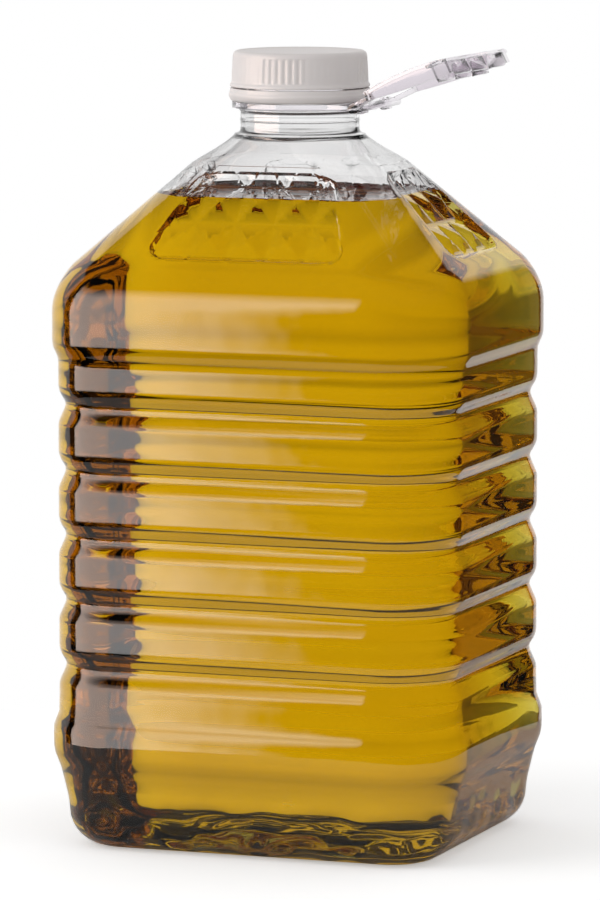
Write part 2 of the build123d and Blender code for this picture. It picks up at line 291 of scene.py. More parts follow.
def ridged(edges: list[BMEdge], angle: float) -> None:
    """Keeps edges sharp where their two faces meet steeply, and smooths the others.

    Args:
        edges: The edges of one mesh.
        angle: The steepest meeting that is still smooth, in degrees.
    """
    for edge in edges:
        if edge.is_valid and len(edge.link_faces) == 2:
            edge.smooth = edge.calc_face_angle(0) < math.radians(angle)


def settle(made: Object, body: str, node: str) -> None:
    """Lets a piece ride on its body and stand for its solid.

    Args:
        made: The finished piece.
        body: The body that it moves with.
        node: The solid that it stands for.
    """
    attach(made, body)
    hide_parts(node)
    LOG.info("%s: %d faces on %s", made.name, len(made.data.polygons), body)


class Rule:
    """A Geometry Nodes tree with named inputs, built here and applied to one object."""

    kinds = {int: "NodeSocketInt", float: "NodeSocketFloat", Material: "NodeSocketMaterial"}

    def __init__(self, name: str, values: dict[str, int | float | Material]) -> None:
        """Makes a tree that takes a geometry and named values, and gives a geometry.

        Args:
            name: What the tree is called.
            values: What each named input is set to on the object. Lengths are in metres.
        """
        self.tree = bpy.data.node_groups.new(name, "GeometryNodeTree")
        self.tree.is_modifier = True
        face = self.tree.interface
        for way in ("INPUT", "OUTPUT"):
            face.new_socket("Geometry", in_out=way, socket_type="NodeSocketGeometry")
        self.values: dict[str, object] = {}
        for label, value in values.items():
            kind = next(kind for form, kind in self.kinds.items() if isinstance(value, form))
            item = face.new_socket(label, in_out="INPUT", socket_type=kind)
            self.values[item.identifier] = value
        self.add = partial(add_node, self.tree)
        self.geometry = self.add("NodeGroupInput", out="Geometry")
        self.inputs = [self.geometry.node.outputs[label] for label in values]

    def press(self, depth: NodeSocket, way: NodeSocket) -> NodeSocket:
        """Moves the points inwards.

        Args:
            depth: How far each point moves, in metres.
            way: The outward direction at each point.

        Returns:
            The moved geometry.
        """
        inwards = self.add(MATH, depth, -1.0, operation="MULTIPLY")
        offset = self.add("ShaderNodeVectorMath", {0: way, "Scale": inwards}, operation="SCALE")
        moved = {"Geometry": self.geometry, "Offset": offset}
        return self.add("GeometryNodeSetPosition", moved)

    def finish(self, geometry: NodeSocket, material: NodeSocket) -> None:
        """Ends the tree with real geometry that wears its finish.

        Args:
            geometry: What the tree has made.
            material: The input that holds the finish.
        """
        real = self.add("GeometryNodeRealizeInstances", geometry)
        worn = self.add("GeometryNodeSetMaterial", {"Geometry": real, "Material": material})
        self.add("NodeGroupOutput", worn)

    def apply(self, made: Object) -> None:
        """Turns the object into what the tree makes of it, as a plain mesh.

        Args:
            made: The object.
        """
        modifier = made.modifiers.new(self.tree.name, "NODES")
        modifier.node_group = self.tree
        for identifier, value in self.values.items():
            modifier[identifier] = value
        make_plain(made, modifier)


# Finishes


class Finish:
    """What every finish shares: its name and the start of its material."""

    name: str

    def begin(self) -> tuple[Material, Adder]:
        """Makes an empty material.

        Returns:
            The material and what adds a node to it.
        """
        material = bpy.data.materials.new(self.name)
        material.use_nodes = True
        material.node_tree.nodes.clear()
        return material, partial(add_node, material.node_tree)


@dataclass(frozen=True)
class WallRipples:
    """Uneven spots of the blown wall: long low ripples in its grooves, folds at its foot.

    The wave is the size of one ripple along X, Y and Z. The groove's shares are where, on a
    wave that peaks in every groove, the ripples begin and are whole. The side's shares are how
    deep they are at its two places on X, so that they grow towards the handle.
    """

    depth_mm: float = 0.28
    wave_mm: tuple[float, float, float] = (90.909, 90.909, 3.84615)
    groove_top_mm: float = 170.9
    groove_pitch_mm: float = 25.1
    groove_shares: tuple[float, float] = (0.15, 0.7)
    heights_mm: tuple[float, float, float, float] = (58.0, 62.0, 180.0, 184.0)
    side_mm: tuple[float, float] = (-50.0, 60.0)
    side_shares: tuple[float, float] = (0.15, 1.0)
    fold_mm: float = 13.0
    fold_depth_mm: float = 1.6
    foot_mm: tuple[float, float] = (6.0, 24.0)

    def height(self, add: Adder, place: NodeSocket) -> NodeSocket:
        """Draws the ripples and the folds.

        Args:
            add: What adds a node to the material.
            place: The piece's own coordinates, in metres.

        Returns:
            Their height, in millimetres.
        """
        axes = add("ShaderNodeSeparateXYZ", place).node.outputs
        scale = tuple(1 / (size * MM) for size in self.wave_mm)
        stretched = add("ShaderNodeMapping", {"Vector": place, "Scale": scale})
        ripple = add(NOISE, {"Vector": stretched, "Scale": 1.0, "Detail": 1.0})
        turn = add(MATH, axes["Z"], self.groove_top_mm * MM, operation="SUBTRACT")
        turn = add(MATH, turn, math.tau / (self.groove_pitch_mm * MM), operation="MULTIPLY")
        shares = (
            add(RAMP, add(MATH, turn, operation="COSINE"), *self.groove_shares),
            add(RAMP, axes["X"], *(edge * MM for edge in self.side_mm), *self.side_shares),
            window(add, axes["Z"], [edge * MM for edge in self.heights_mm]),
            self.depth_mm,
        )
        for share in shares:
            ripple = add(MATH, ripple, share, operation="MULTIPLY")
        folds = add(NOISE, {"Vector": place, "Scale": 1 / (self.fold_mm * MM), "Detail": 0.0})
        foot = [edge * MM for edge in self.foot_mm]
        foot = add(RAMP, axes["Z"], *foot, self.fold_depth_mm, 0.0)
        folds = add(MATH, folds, foot, operation="MULTIPLY")
        return add(MATH, ripple, folds, operation="ADD")


@dataclass(frozen=True)
class ClearPlastic(Finish):
    """Clear blown or moulded plastic with the soft waves of its mould."""

    name: str
    tint: str = "#FFFFFF"
    index: float = 1.46
    roughness: float = 0.015
    wave_mm: float = 16.0
    wave_depth_mm: float = 0.03
    clearness: float = 1.0
    coat: float = 0.0
    ripples: WallRipples | None = None

    def material(self) -> Material:
        """Builds the material.

        Returns:
            The material.
        """
        material, add = self.begin()
        place = add("ShaderNodeTexCoord", out="Object")
        waves = add(NOISE, {"Vector": place, "Scale": 1 / (self.wave_mm * MM), "Detail": 1.0})
        waves = add(MATH, waves, self.wave_depth_mm, operation="MULTIPLY")
        if self.ripples:
            waves = add(MATH, waves, self.ripples.height(add, place), operation="ADD")
        bump = add("ShaderNodeBump", {"Height": waves, "Distance": MM, "Strength": 1.0})
        values = {
            "Base Color": linear(self.tint),
            "Roughness": self.roughness,
            "IOR": self.index,
            "Transmission Weight": self.clearness,
            "Coat Weight": self.coat,
            "Normal": bump,
        }
        add("ShaderNodeOutputMaterial", add("ShaderNodeBsdfPrincipled", values))
        return material


@dataclass(frozen=True)
class GoldenOil(Finish):
    """Olive oil: clear, and golden by how much of it the light crosses.

    Its loss is the rate at which red, green and blue fade on their way through it.
    """

    name: str
    against_wall: bool
    index: float = 1.47
    lost_per_metre: tuple[float, float, float] = (3.2, 7.4, 45.0)

    def material(self) -> Material:
        """Builds the material.

        Returns:
            The material. Where a wall touches the oil, the wall alone bends the light.
        """
        material, add = self.begin()
        density = max(self.lost_per_metre)
        colour = (*(1 - lost / density for lost in self.lost_per_metre), 1.0)
        volume = add("ShaderNodeVolumeAbsorption", {"Color": colour, "Density": density})
        if self.against_wall:
            surface = add("ShaderNodeBsdfTransparent")
        else:
            values = {
                "Base Color": WHITE,
                "Roughness": 0.0,
                "IOR": self.index,
                "Transmission Weight": 1.0,
            }
            surface = add("ShaderNodeBsdfPrincipled", values)
        add("ShaderNodeOutputMaterial", {"Surface": surface, "Volume": volume})
        return material


@dataclass(frozen=True)
class WhitePlastic(Finish):
    """White polyethylene: waxy, faintly cloudy, with a fine skin.

    The skin's shares are the stretch of its noise over which the roughness spreads. The wax's
    shares are how deep red, green and blue sink in.
    """

    name: str
    light: str = "#E7E1DF"
    dark: str = "#DFD8D6"
    roughness: float = 0.42
    skin_mm: float = 0.9
    skin_depth_mm: float = 0.012
    waxy: float = 0.12
    index: float = 1.5
    cloud_mm: float = 14.0
    skin_shares: tuple[float, float] = (0.3, 0.7)
    roughness_spread: tuple[float, float] = (-0.05, 0.06)
    wax_depth_mm: float = 1.2
    wax_shares: tuple[float, float, float] = (1.0, 0.9, 0.8)

    def material(self) -> Material:
        """Builds the material.

        Returns:
            The material.
        """
        material, add = self.begin()
        place = add("ShaderNodeTexCoord", out="Object")
        clouds, skin = (
            add(NOISE, {"Vector": place, "Scale": 1 / (size * MM), "Detail": 2.0})
            for size in (self.cloud_mm, self.skin_mm)
        )
        colours = {0: clouds, 6: linear(self.light), 7: linear(self.dark)}
        deep = {"Height": skin, "Distance": self.skin_depth_mm * MM, "Strength": 1.0}
        rough = [self.roughness + spread for spread in self.roughness_spread]
        values = {
            "Base Color": add(MIX, colours, data_type="RGBA", out=2),
            "Roughness": add(RAMP, skin, *self.skin_shares, *rough),
            "IOR": self.index,
            "Subsurface Weight": self.waxy,
            "Subsurface Radius": self.wax_shares,
            "Subsurface Scale": self.wax_depth_mm * MM,
            "Normal": add("ShaderNodeBump", deep),
        }
        add("ShaderNodeOutputMaterial", add("ShaderNodeBsdfPrincipled", values))
        return material


@dataclass(frozen=True)
class TablePaint(Finish):
    """Matt white paint that glows a little, so that it joins the white backdrop."""

    name: str = "white_table_paint"
    colour: str = "#F4F4F4"
    glow: float = 0.4
    share_through: float = 0.6

    def material(self) -> Material:
        """Builds the material.

        Returns:
            The material, which glows less for what the bottle shows through itself.
        """
        material, add = self.begin()
        path = add("ShaderNodeLightPath").node.outputs
        seen = add(MATH, path["Is Transmission Ray"], self.share_through, operation="MULTIPLY")
        seen = add(MATH, path["Is Camera Ray"], seen, operation="MAXIMUM")
        seen = add(MATH, seen, self.glow, operation="MULTIPLY")
        paint = add("ShaderNodeBsdfDiffuse", {"Color": linear(self.colour)})
        glow = add("ShaderNodeEmission", {"Color": WHITE, "Strength": seen})
        add("ShaderNodeOutputMaterial", add("ShaderNodeAddShader", paint, glow))
        return material


# Polyester, blown into a mould: as clear as glass, with soft waves some 16 mm long that make
# every reflection sway. Its index, a little under the real 1.57, was matched to the photo.
CLEAR_POLYESTER = ClearPlastic("clear_polyester_waves_16mm", ripples=WallRipples())
# The same wall where oil wets it. Its index is that of polyester against oil, so light goes
# nearly straight on and the wall all but vanishes.
WET_POLYESTER = ClearPlastic("clear_polyester_against_oil", index=1.068, roughness=0.0)
# Clear plastic, injection moulded: slightly milky and soft at its edges, with a glossy skin.
# Its index is far below the real one, because the bends of a solid arm would turn it dark.
CLEAR_MOULDING = ClearPlastic(
    "clear_moulded_plastic_waves_6mm",
    tint="#F8F4F8",
    index=1.07,
    roughness=0.14,
    wave_mm=6.0,
    wave_depth_mm=0.02,
    clearness=0.99,
    coat=0.7,
)
# Filtered olive oil, at rest: a mirror-flat top, yellow where it is thin and amber where the
# light crosses all of it.
OIL_TOP = GoldenOil("olive_oil_surface", False)
OIL_SIDE = GoldenOil("olive_oil_against_wall", True)
# Polyethylene, injection moulded: light sinks in a little, so it looks soft and warm. Its skin
# is much finer than 0.9 or 0.7 mm, and is drawn as coarse as it needs to show.
CAP_WHITE = WhitePlastic("warm_white_polyethylene_skin_0.9mm")
BAND_WHITE = WhitePlastic("warm_white_band_polyethylene_skin_0.7mm", skin_mm=0.7)
# Foamed polyethylene, cut from sheet: cells of half a millimetre give it a dull, dry face.
LINER_FOAM = WhitePlastic(
    "white_foam_cells_0.5mm",
    light="#F2F1EC",
    dark="#E9E8E2",
    roughness=0.7,
    skin_mm=0.5,
    skin_depth_mm=0.05,
    waxy=0.25,
)


# Studio


@dataclass
class Studio:
    """Camera, floor, sky and lamp. The camera stands where the photograph was taken from.

    Lengths are in metres, but millimetres for the lens and its sensor, and power is in watts.
    Angles are in degrees, to the right of the camera's view or up from the horizon. A row of
    four edges is where a form begins, is whole, begins to end and ends. A fading, a wall or an
    edge with two levels is where it begins and ends, and its level at both. Where a field has
    two looks, the first is what shows through the bottle and the second is what its skin
    mirrors. The strips' shares are the stretch of their wave over which they brighten.
    """

    turned: float = 20.11
    distance: float = 2.433
    height: float = 0.443
    tipped: float = 6.87
    lens: float = 253.4
    sensor: float = 36.0
    sight: tuple[float, float] = (0.1, 30.0)
    floor_radius: float = 0.32
    floor_height: float = -0.0002
    floor_sides: int = 128
    backdrop_looks: tuple[tuple[float, ...], ...] = (
        (-53.0, -50.0, 60.0, 62.0), (-68.0, -65.0, 32.0, 34.0),
    )
    backdrop_fading: tuple[float, ...] = (-3.5, 9.0, 1.0, 0.62)
    backdrop_least: float = 0.2
    side_fading: tuple[float, ...] = (14.0, -45.0, 1.0, 0.75)
    right_wall: tuple[float, ...] = (100.0, 112.0, 0.3, 0.65)
    back_wall: tuple[float, ...] = (-170.0, -163.0, 0.65, 0.0)
    dark_wall: tuple[float, ...] = (-164.0, -160.0, -116.0, -110.0)
    dark_glow: float = 0.1
    mirrored_glow: float = 0.015
    table_edge: tuple[float, ...] = (-14.0, -11.5, 1.0, 0.0)
    table_fading: tuple[float, ...] = (-18.0, -42.0, 1.0, 0.45)
    ceiling_through: tuple[float, float] = (9.5, 3.5)
    ceiling_mirrored: float = 34.0
    ceiling_softness: float = 2.0
    ceiling_glow: float = 0.04
    bounce_edge: tuple[float, float] = (0.4, 0.6)
    strip_pitch: float = 15.0
    strip_shares: tuple[float, float] = (0.1, 0.5)
    strip_start: tuple[float, ...] = (18.0, 22.0, 1.0, 0.0)
    strip_glow: float = 0.7
    softbox_sides: tuple[float, ...] = (-139.8, -138.5, -82.0, -78.0)
    softbox_heights: tuple[float, ...] = (-15.5, -11.5, 23.0, 34.0)
    softbox_looks: tuple[float, float] = (0.3, 4.9)
    softbox_tint: tuple[float, float, float] = (1.5, 1.17, 1.0)
    tinted_sides: tuple[float, ...] = (-137.5, -135.5, -75.0, -70.0)
    soft_light: float = 0.68
    key_power: float = 8.5
    key_size: tuple[float, float] = (1.1, 1.5)
    key_turned: float = -68.0
    key_distance: float = 1.5
    key_height: float = 0.75
    key_aim: float = 0.2

    def build(self) -> None:
        """Builds everything around the bottle."""
        self.camera()
        self.floor()
        self.sky()
        self.key_lamp()

    def around(self, angle: float, distance: float, height: float) -> tuple[float, float, float]:
        """Finds a place round the bottle.

        Args:
            angle: Its turn from the wide front, in degrees.
            distance: How far it is from the bottle's axis.
            height: How far it is above the table.

        Returns:
            The place.
        """
        turn = math.radians(angle)
        return distance * math.sin(turn), -distance * math.cos(turn), height

    def camera(self) -> None:
        """Places the camera."""
        data = bpy.data.cameras.new("photo_camera")
        data.lens = self.lens
        data.sensor_width = self.sensor
        data.clip_start, data.clip_end = self.sight
        made = bpy.data.objects.new("photo_camera", data)
        made.location = self.around(self.turned, self.distance, self.height)
        made.rotation_euler = (math.radians(90 - self.tipped), 0, math.radians(self.turned))
        bpy.context.scene.collection.objects.link(made)
        bpy.context.scene.camera = made

    def floor(self) -> None:
        """Lays a small round table top that is white but for the bottle's shadow."""
        mesh = bpy.data.meshes.new("table_top")
        with editing(mesh) as bm:
            bmesh.ops.create_circle(
                bm, cap_ends=True, radius=self.floor_radius, segments=self.floor_sides
            )
        top = new_object("table_top", mesh)
        top.location.z = self.floor_height
        mesh.materials.append(TablePaint().material())
        top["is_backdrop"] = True

    def sky(self) -> None:
        """Paints the studio round the bottle: a white backdrop, a softbox and dim walls.

        The camera sees plain white. Glass and gloss see the painted studio, and everything
        else takes an even soft light.
        """
        world = bpy.data.worlds.new("studio")
        bpy.context.scene.world = world
        world.use_nodes = True
        world.node_tree.nodes.clear()
        add = partial(add_node, world.node_tree)
        way = add("ShaderNodeTexCoord", out="Generated")
        angle = math.radians(self.turned)
        ahead, right, high = (
            add("ShaderNodeVectorMath", way, axis, operation="DOT_PRODUCT", out="Value")
            for axis in (
                (-math.sin(angle), math.cos(angle), 0),
                (math.cos(angle), math.sin(angle), 0),
                (0, 0, 1),
            )
        )
        turn = add(MATH, add(MATH, right, ahead, operation="ARCTAN2"), operation="DEGREES")
        up = add(MATH, add(MATH, high, operation="ARCSINE"), operation="DEGREES")
        path = add("ShaderNodeLightPath").node.outputs
        mirrored = add(MATH, 1.0, path["Is Transmission Ray"], operation="SUBTRACT")

        level = self.painted_room(add, turn, up, mirrored, path["Glossy Depth"])
        sides = window(add, turn, self.softbox_sides)
        heights = window(add, up, self.softbox_heights)
        box = add(MATH, sides, heights, operation="MULTIPLY")
        shine = add(MIX, {0: mirrored, 2: self.softbox_looks[0], 3: self.softbox_looks[1]})
        box = add(MATH, box, shine, operation="MULTIPLY")
        glow = add(MATH, level, box, operation="MAXIMUM")

        bent = (path["Is Glossy Ray"], path["Is Transmission Ray"])
        sharp = add(MATH, *bent, operation="MAXIMUM")
        studio = add(MIX, {0: sharp, 2: self.soft_light, 3: glow})
        seen = add(MIX, {0: path["Is Camera Ray"], 2: studio, 3: 1.0})
        warm = add(MATH, mirrored, path["Is Glossy Ray"], operation="MULTIPLY")
        warm = add(MATH, warm, window(add, turn, self.tinted_sides), operation="MULTIPLY")
        tints = {0: warm, 6: WHITE, 7: (*self.softbox_tint, 1.0)}
        tint = add(MIX, tints, data_type="RGBA", out=2)
        light = add("ShaderNodeBackground", {"Color": tint, "Strength": seen})
        add("ShaderNodeOutputWorld", light)

    def painted_room(
        self,
        add: Adder,
        turn: NodeSocket,
        up: NodeSocket,
        mirrored: NodeSocket,
        bounces: NodeSocket,
    ) -> NodeSocket:
        """Paints the backdrop, the walls, the ceiling and the table.

        Args:
            add: What adds a node to the sky.
            turn: The direction's angle to the right.
            up: Its angle up.
            mirrored: Zero for what shows through the bottle and one for the rest.
            bounces: How often the ray was mirrored or bent before.

        Returns:
            How bright the room is in that direction.
        """
        # The white backdrop. Through the bottle it fades upwards and towards its left.
        edges = [add(MIX, {0: mirrored, 2: a, 3: b}) for a, b in zip(*self.backdrop_looks)]
        backdrop = window(add, turn, edges)
        aside = add(RAMP, turn, *self.side_fading)
        fading = add(MATH, add(RAMP, up, *self.backdrop_fading), aside, operation="MULTIPLY")
        fading = add(MIX, {0: mirrored, 2: fading, 3: 1.0})
        backdrop = add(MATH, backdrop, fading, operation="MULTIPLY")

        # The dim walls, which are nearly black in the mirror of the skin.
        walls = (add(RAMP, turn, *wall) for wall in (self.right_wall, self.back_wall))
        walls = add(MATH, *walls, operation="MAXIMUM")
        walls = add(MIX, {0: window(add, turn, self.dark_wall), 2: walls, 3: self.dark_glow})
        walls = add(MIX, {0: mirrored, 2: walls, 3: self.mirrored_glow})
        level = add(MATH, backdrop, walls, operation="MAXIMUM")

        # The dark ceiling, lower after a bounce. High up it has strips that show through only.
        after = add(RAMP, bounces, *self.bounce_edge)
        head = add(MIX, {0: after, 2: self.ceiling_through[0], 3: self.ceiling_through[1]})
        head = add(MIX, {0: mirrored, 2: head, 3: self.ceiling_mirrored})
        ceiling = add(RAMP, up, head, add(MATH, head, self.ceiling_softness, operation="ADD"))
        strips = add(MATH, up, math.tau / self.strip_pitch, operation="MULTIPLY")
        strips = add(MATH, strips, operation="COSINE")
        strips = add(RAMP, strips, *self.strip_shares, self.ceiling_glow, self.strip_glow)
        plain = add(MATH, mirrored, add(RAMP, up, *self.strip_start), operation="MAXIMUM")
        overhead = add(MIX, {0: plain, 2: strips, 3: self.ceiling_glow})
        level = add(MIX, {0: ceiling, 2: level, 3: overhead})

        # The white table, which the skin mirrors only in front of the backdrop.
        behind = add(MATH, backdrop, self.backdrop_least, operation="GREATER_THAN")
        behind = add(MIX, {0: mirrored, 2: 1.0, 3: behind})
        table = add(MATH, add(RAMP, up, *self.table_edge), behind, operation="MULTIPLY")
        top = add(MATH, add(RAMP, up, *self.table_fading), aside, operation="MULTIPLY")
        return add(MIX, {0: table, 2: level, 3: top})

    def key_lamp(self) -> None:
        """Hangs the soft key lamp at the left, as in the photograph."""
        data = bpy.data.lights.new("soft_key", "AREA")
        data.shape = "RECTANGLE"
        data.size, data.size_y = self.key_size
        data.energy = self.key_power
        made = bpy.data.objects.new("soft_key", data)
        angle = self.turned + self.key_turned
        made.location = self.around(angle, self.key_distance, self.key_height)
        aim = Vector((0, 0, self.key_aim)) - made.location
        made.rotation_euler = aim.to_track_quat("-Z", "Y").to_euler()
        made.visible_camera = False
        made.visible_glossy = False
        made.visible_transmission = False
        bpy.context.scene.collection.objects.link(made)


# Bottle and oil


class Surface(Enum):
    """The surfaces that carry the grip panels, by how far each lies inside the outside."""

    OUTSIDE = 0.0
    INSIDE = 0.6
    OIL = 0.7


@dataclass(frozen=True)
class BodyForm:
    """The rule of the body: a rounded rectangle whose sizes follow the height.

    Marks of the foot hold a height and how far the wall lies inside the widest straight part
    there. Marks of the dome hold a height and how far the shoulder has closed to the neck.
    """

    half_x: float = 81.2
    half_y: float = 71.0
    corner: float = 28.5
    bulge: float = 2.3
    heel_radius: float = 14.0
    heel_inset: float = 3.8
    heel_rows: int = 9
    foot_marks: tuple[tuple[float, float], ...] = (
        (14.0, 3.8), (18.0, 3.4), (30.1, 0.5), (36.8, -2.2), (46.9, -2.3), (51.6, 0.0),
        (188.7, 0.0), (193.0, -2.3), (206.0, -2.3),
    )
    softness: float = 1.1
    foot_top: float = 52.0
    foot_rows: int = 14
    groove_count: int = 5
    groove_top: float = 170.9
    groove_pitch: float = 25.1
    groove_depth: float = 2.9
    groove_floor: float = 1.7
    groove_slope: float = 6.4
    groove_curve: float = 5.8
    groove_rows: int = 12
    groove_blur: tuple[int, float] = (2, 0.7)
    groove_margins: tuple[float, float, float] = (-3.2, -1.0, 1.0)
    belt_low: float = 182.0
    belt_rows: int = 12
    shoulder_start: float = 206.0
    bend_high: float = 224.0
    bend_share: float = 0.112
    bend_rows: int = 9
    flat_high: float = 262.0
    flat_share: float = 0.745
    flat_rows: int = 21
    neck_radius: float = 22.9
    dome_marks: tuple[tuple[float, float], ...] = (
        (262.0, 0.745), (264.3, 0.80), (266.6, 0.857), (268.8, 0.905), (270.6, 0.94),
        (271.9, 0.962),
    )
    dome_rows: int = 8
    standing_width: float = 5.0
    push_up_slope: float = 9.0
    push_up_corner: float = 12.0
    push_up_shoulder: float = 7.5
    push_up_height: float = 11.0
    base_wall: float = 1.2
    quarter_columns: int = 50

    def body_heights(self) -> np.ndarray:
        """Lists the rows from the heel to the shoulder, closer together in the grooves.

        Returns:
            Their heights.
        """
        marks = [*np.linspace(self.heel_radius, self.foot_top, self.foot_rows + 1)[1:]]
        for index in reversed(range(self.groove_count)):
            centre = self.groove_top - index * self.groove_pitch
            low = centre - self.groove_floor / 2 - self.groove_slope
            high = centre + self.groove_floor / 2 + self.groove_curve
            marks += [low + margin for margin in self.groove_margins[:2]]
            marks += [*np.linspace(low, high, self.groove_rows)]
            marks += [high + self.groove_margins[2]]
        marks += [*np.linspace(self.belt_low, self.shoulder_start, self.belt_rows)]
        return np.array(marks)

    def inset(self, heights: np.ndarray) -> np.ndarray:
        """Reads the foot and the belts, with their kinks softened and the grooves left out.

        Args:
            heights: Where they are read.

        Returns:
            How far the wall lies inside the body's widest straight part at each height.
        """
        # A bell curve softens the kinks. It is followed out to four times its width.
        step, width_count = 0.25, 4
        fine = np.arange(0.0, self.flat_high, step)
        marks = np.array(self.foot_marks)
        rough = np.interp(fine, marks[:, 0], marks[:, 1])
        reach = int(width_count * self.softness / step)
        kernel = np.exp(-0.5 * (np.arange(-reach, reach + 1) * step / self.softness) ** 2)
        smooth = np.convolve(np.pad(rough, reach, mode="edge"), kernel / kernel.sum(), "valid")
        return np.interp(heights, fine, smooth)

    def share(self, heights: np.ndarray) -> np.ndarray:
        """Reads how far the shoulder has closed from the body to the neck.

        Args:
            heights: Where it is read.

        Returns:
            Zero on the body, and nearly one at the foot of the neck.
        """
        bend = (heights - self.shoulder_start) / (self.bend_high - self.shoulder_start)
        marks = [(self.bend_high, self.bend_share), *self.dome_marks]
        above = np.interp(heights, [m[0] for m in marks], [m[1] for m in marks])
        return np.where(heights < self.bend_high, self.bend_share * np.clip(bend, 0, 1) ** 2, above)

    def shoulder_rows(self, skin: float) -> np.ndarray:
        """Lists sections of the shoulder, from its start to the foot of the neck.

        Args:
            skin: How far inside the outside they lie.

        Returns:
            Half width, half depth, corner radius and height of each.
        """
        bend = np.linspace(self.shoulder_start, self.bend_high, self.bend_rows + 1)[1:]
        flat = np.linspace(self.bend_high, self.flat_high, self.flat_rows + 1)[1:]
        dome = np.linspace(self.flat_high, self.dome_marks[-1][0], self.dome_rows + 1)[1:]
        heights = np.concatenate([bend, flat, dome])
        share = self.share(heights)
        sizes = [
            (size + self.bulge) * (1 - share) + self.neck_radius * share - skin
            for size in (self.half_x, self.half_y, self.corner)
        ]
        return np.column_stack([*sizes, heights])

    def inset_rows(self, insets: np.ndarray, heights: np.ndarray) -> np.ndarray:
        """Lists sections of the body at heights, each drawn in by its inset."""
        sizes = [size - insets for size in (self.half_x, self.half_y, self.corner)]
        return np.column_stack([*sizes, heights])

    def wall_rows(self, skin: float) -> np.ndarray:
        """Lists sections from the standing ring up to the start of the shoulder.

        Args:
            skin: How far inside the outside they lie.

        Returns:
            Half width, half depth, corner radius and height of each.
        """
        radius = self.heel_radius - skin
        low = math.acos((self.heel_radius - self.base_wall) / radius) if skin > 0 else 0.0
        turn = np.linspace(low, math.pi / 2, self.heel_rows)
        heel = self.inset_rows(
            self.heel_inset + self.heel_radius - radius * np.sin(turn),
            self.heel_radius - radius * np.cos(turn),
        )
        heights = self.body_heights()
        return np.vstack([heel, self.inset_rows(self.inset(heights) + skin, heights)])

    def base_rows(self, skin: float, floor: float) -> np.ndarray:
        """Lists sections of the lifted base, from its centre out to the standing ring.

        Args:
            skin: How far inside the outside they lie.
            floor: How far above the outside they lie.

        Returns:
            Half width, half depth, corner radius and height of each.
        """
        hub, hub_corner, hub_rise = 1.5, 1.45, 0.2
        brow_rise, step_drop, lip = 0.5, 0.4, 1.2
        step_x, step_y, step_corner = 3.0, 2.0, 6.0
        inset = self.heel_inset + self.heel_radius + self.standing_width - skin
        middle = inset + self.push_up_slope
        low, high = self.push_up_shoulder + floor, self.push_up_height + floor
        wide, corner = self.half_y - middle, self.push_up_corner
        long = self.half_x - middle
        # A nearly round crown, the steps that square it off, the slope down and the ring's lip.
        marks = np.array(
            [
                (hub, hub, hub_corner, high + hub_rise),
                (wide * 0.5, wide * 0.5, wide * 0.47, high),
                (wide * 0.94, wide * 0.94, wide * 0.86, low + brow_rise),
                (long - step_x, wide - step_y, corner + step_corner, low),
                (long, wide, corner, low - step_drop),
                (self.half_x - inset - lip, self.half_y - inset - lip, corner, floor + lip),
                (self.half_x - inset, self.half_y - inset, corner, floor),
            ]
        )
        counts = (5, 5, 4, 2, 4, 2)
        rows = [marks[:1]]
        for before, after, count in zip(marks, marks[1:], counts):
            steps = np.linspace(0, 1, count + 1)[1:, None]
            rows.append(before * (1 - steps) + after * steps)
        return np.vstack(rows)

    def points(self, rows: np.ndarray) -> tuple[np.ndarray, np.ndarray]:
        """Places points round each section, evenly spaced along it.

        Args:
            rows: Half width, half depth, corner radius and height of each section.

        Returns:
            Two arrays of rows by columns by three: places and outward directions.
        """
        wide, deep, radius, height = (rows[:, i : i + 1] for i in range(4))
        part = np.linspace(0, 1, self.quarter_columns, endpoint=False)
        quarters = []
        ways = []
        for quarter in range(4):
            share = part[None, :] if quarter % 2 == 0 else 1 - part[None, :]
            arc = math.pi / 2 * radius
            along = share * (deep - radius + arc + wide - radius)
            turn = np.clip((along - (deep - radius)) / radius, 0, math.pi / 2)
            out_x, out_y = np.cos(turn), np.sin(turn)
            x = wide - radius + radius * out_x
            y = np.minimum(along, deep - radius) + radius * out_y
            x = x - np.maximum(along - (deep - radius) - arc, 0)
            sign_x = 1 if quarter in (0, 3) else -1
            sign_y = 1 if quarter < 2 else -1
            flat = np.zeros_like(x)
            quarters.append(np.stack([sign_x * x, sign_y * y, flat + height], axis=-1))
            ways.append(np.stack([sign_x * out_x, sign_y * out_y, flat], axis=-1))
        return np.concatenate(quarters, axis=1), np.concatenate(ways, axis=1)

    def groove_rule(self, material: Material) -> Rule:
        """Geometry Nodes that press the body's grooves into the wall.

        Args:
            material: The finish that the tree sets.

        Returns:
            The rule, with the grooves' sizes as its inputs, in metres.
        """
        rule = Rule(
            "body_grooves",
            {
                "Groove Count": self.groove_count,
                "Top Groove Height": self.groove_top * MM,
                "Groove Pitch": self.groove_pitch * MM,
                "Groove Depth": self.groove_depth * MM,
                "Floor Height": self.groove_floor * MM,
                "Slope Height": self.groove_slope * MM,
                "Curve Height": self.groove_curve * MM,
                "Finish": material,
            },
        )
        add = rule.add
        count, top, pitch, depth, floor, slope, curve, worn = rule.inputs
        height = add("ShaderNodeSeparateXYZ", add("GeometryNodeInputPosition"), out="Z")

        # The nearest groove, and how far above its middle the point lies.
        step = add(MATH, top, height, operation="SUBTRACT")
        step = add(MATH, step, pitch, operation="DIVIDE")
        step = add(MATH, add(MATH, step, operation="ROUND"), 0.0, operation="MAXIMUM")
        step = add(MATH, step, add(MATH, count, 1.0, operation="SUBTRACT"), operation="MINIMUM")
        drop = add(MATH, step, pitch, operation="MULTIPLY")
        centre = add(MATH, top, drop, operation="SUBTRACT")
        above = add(MATH, height, centre, operation="SUBTRACT")

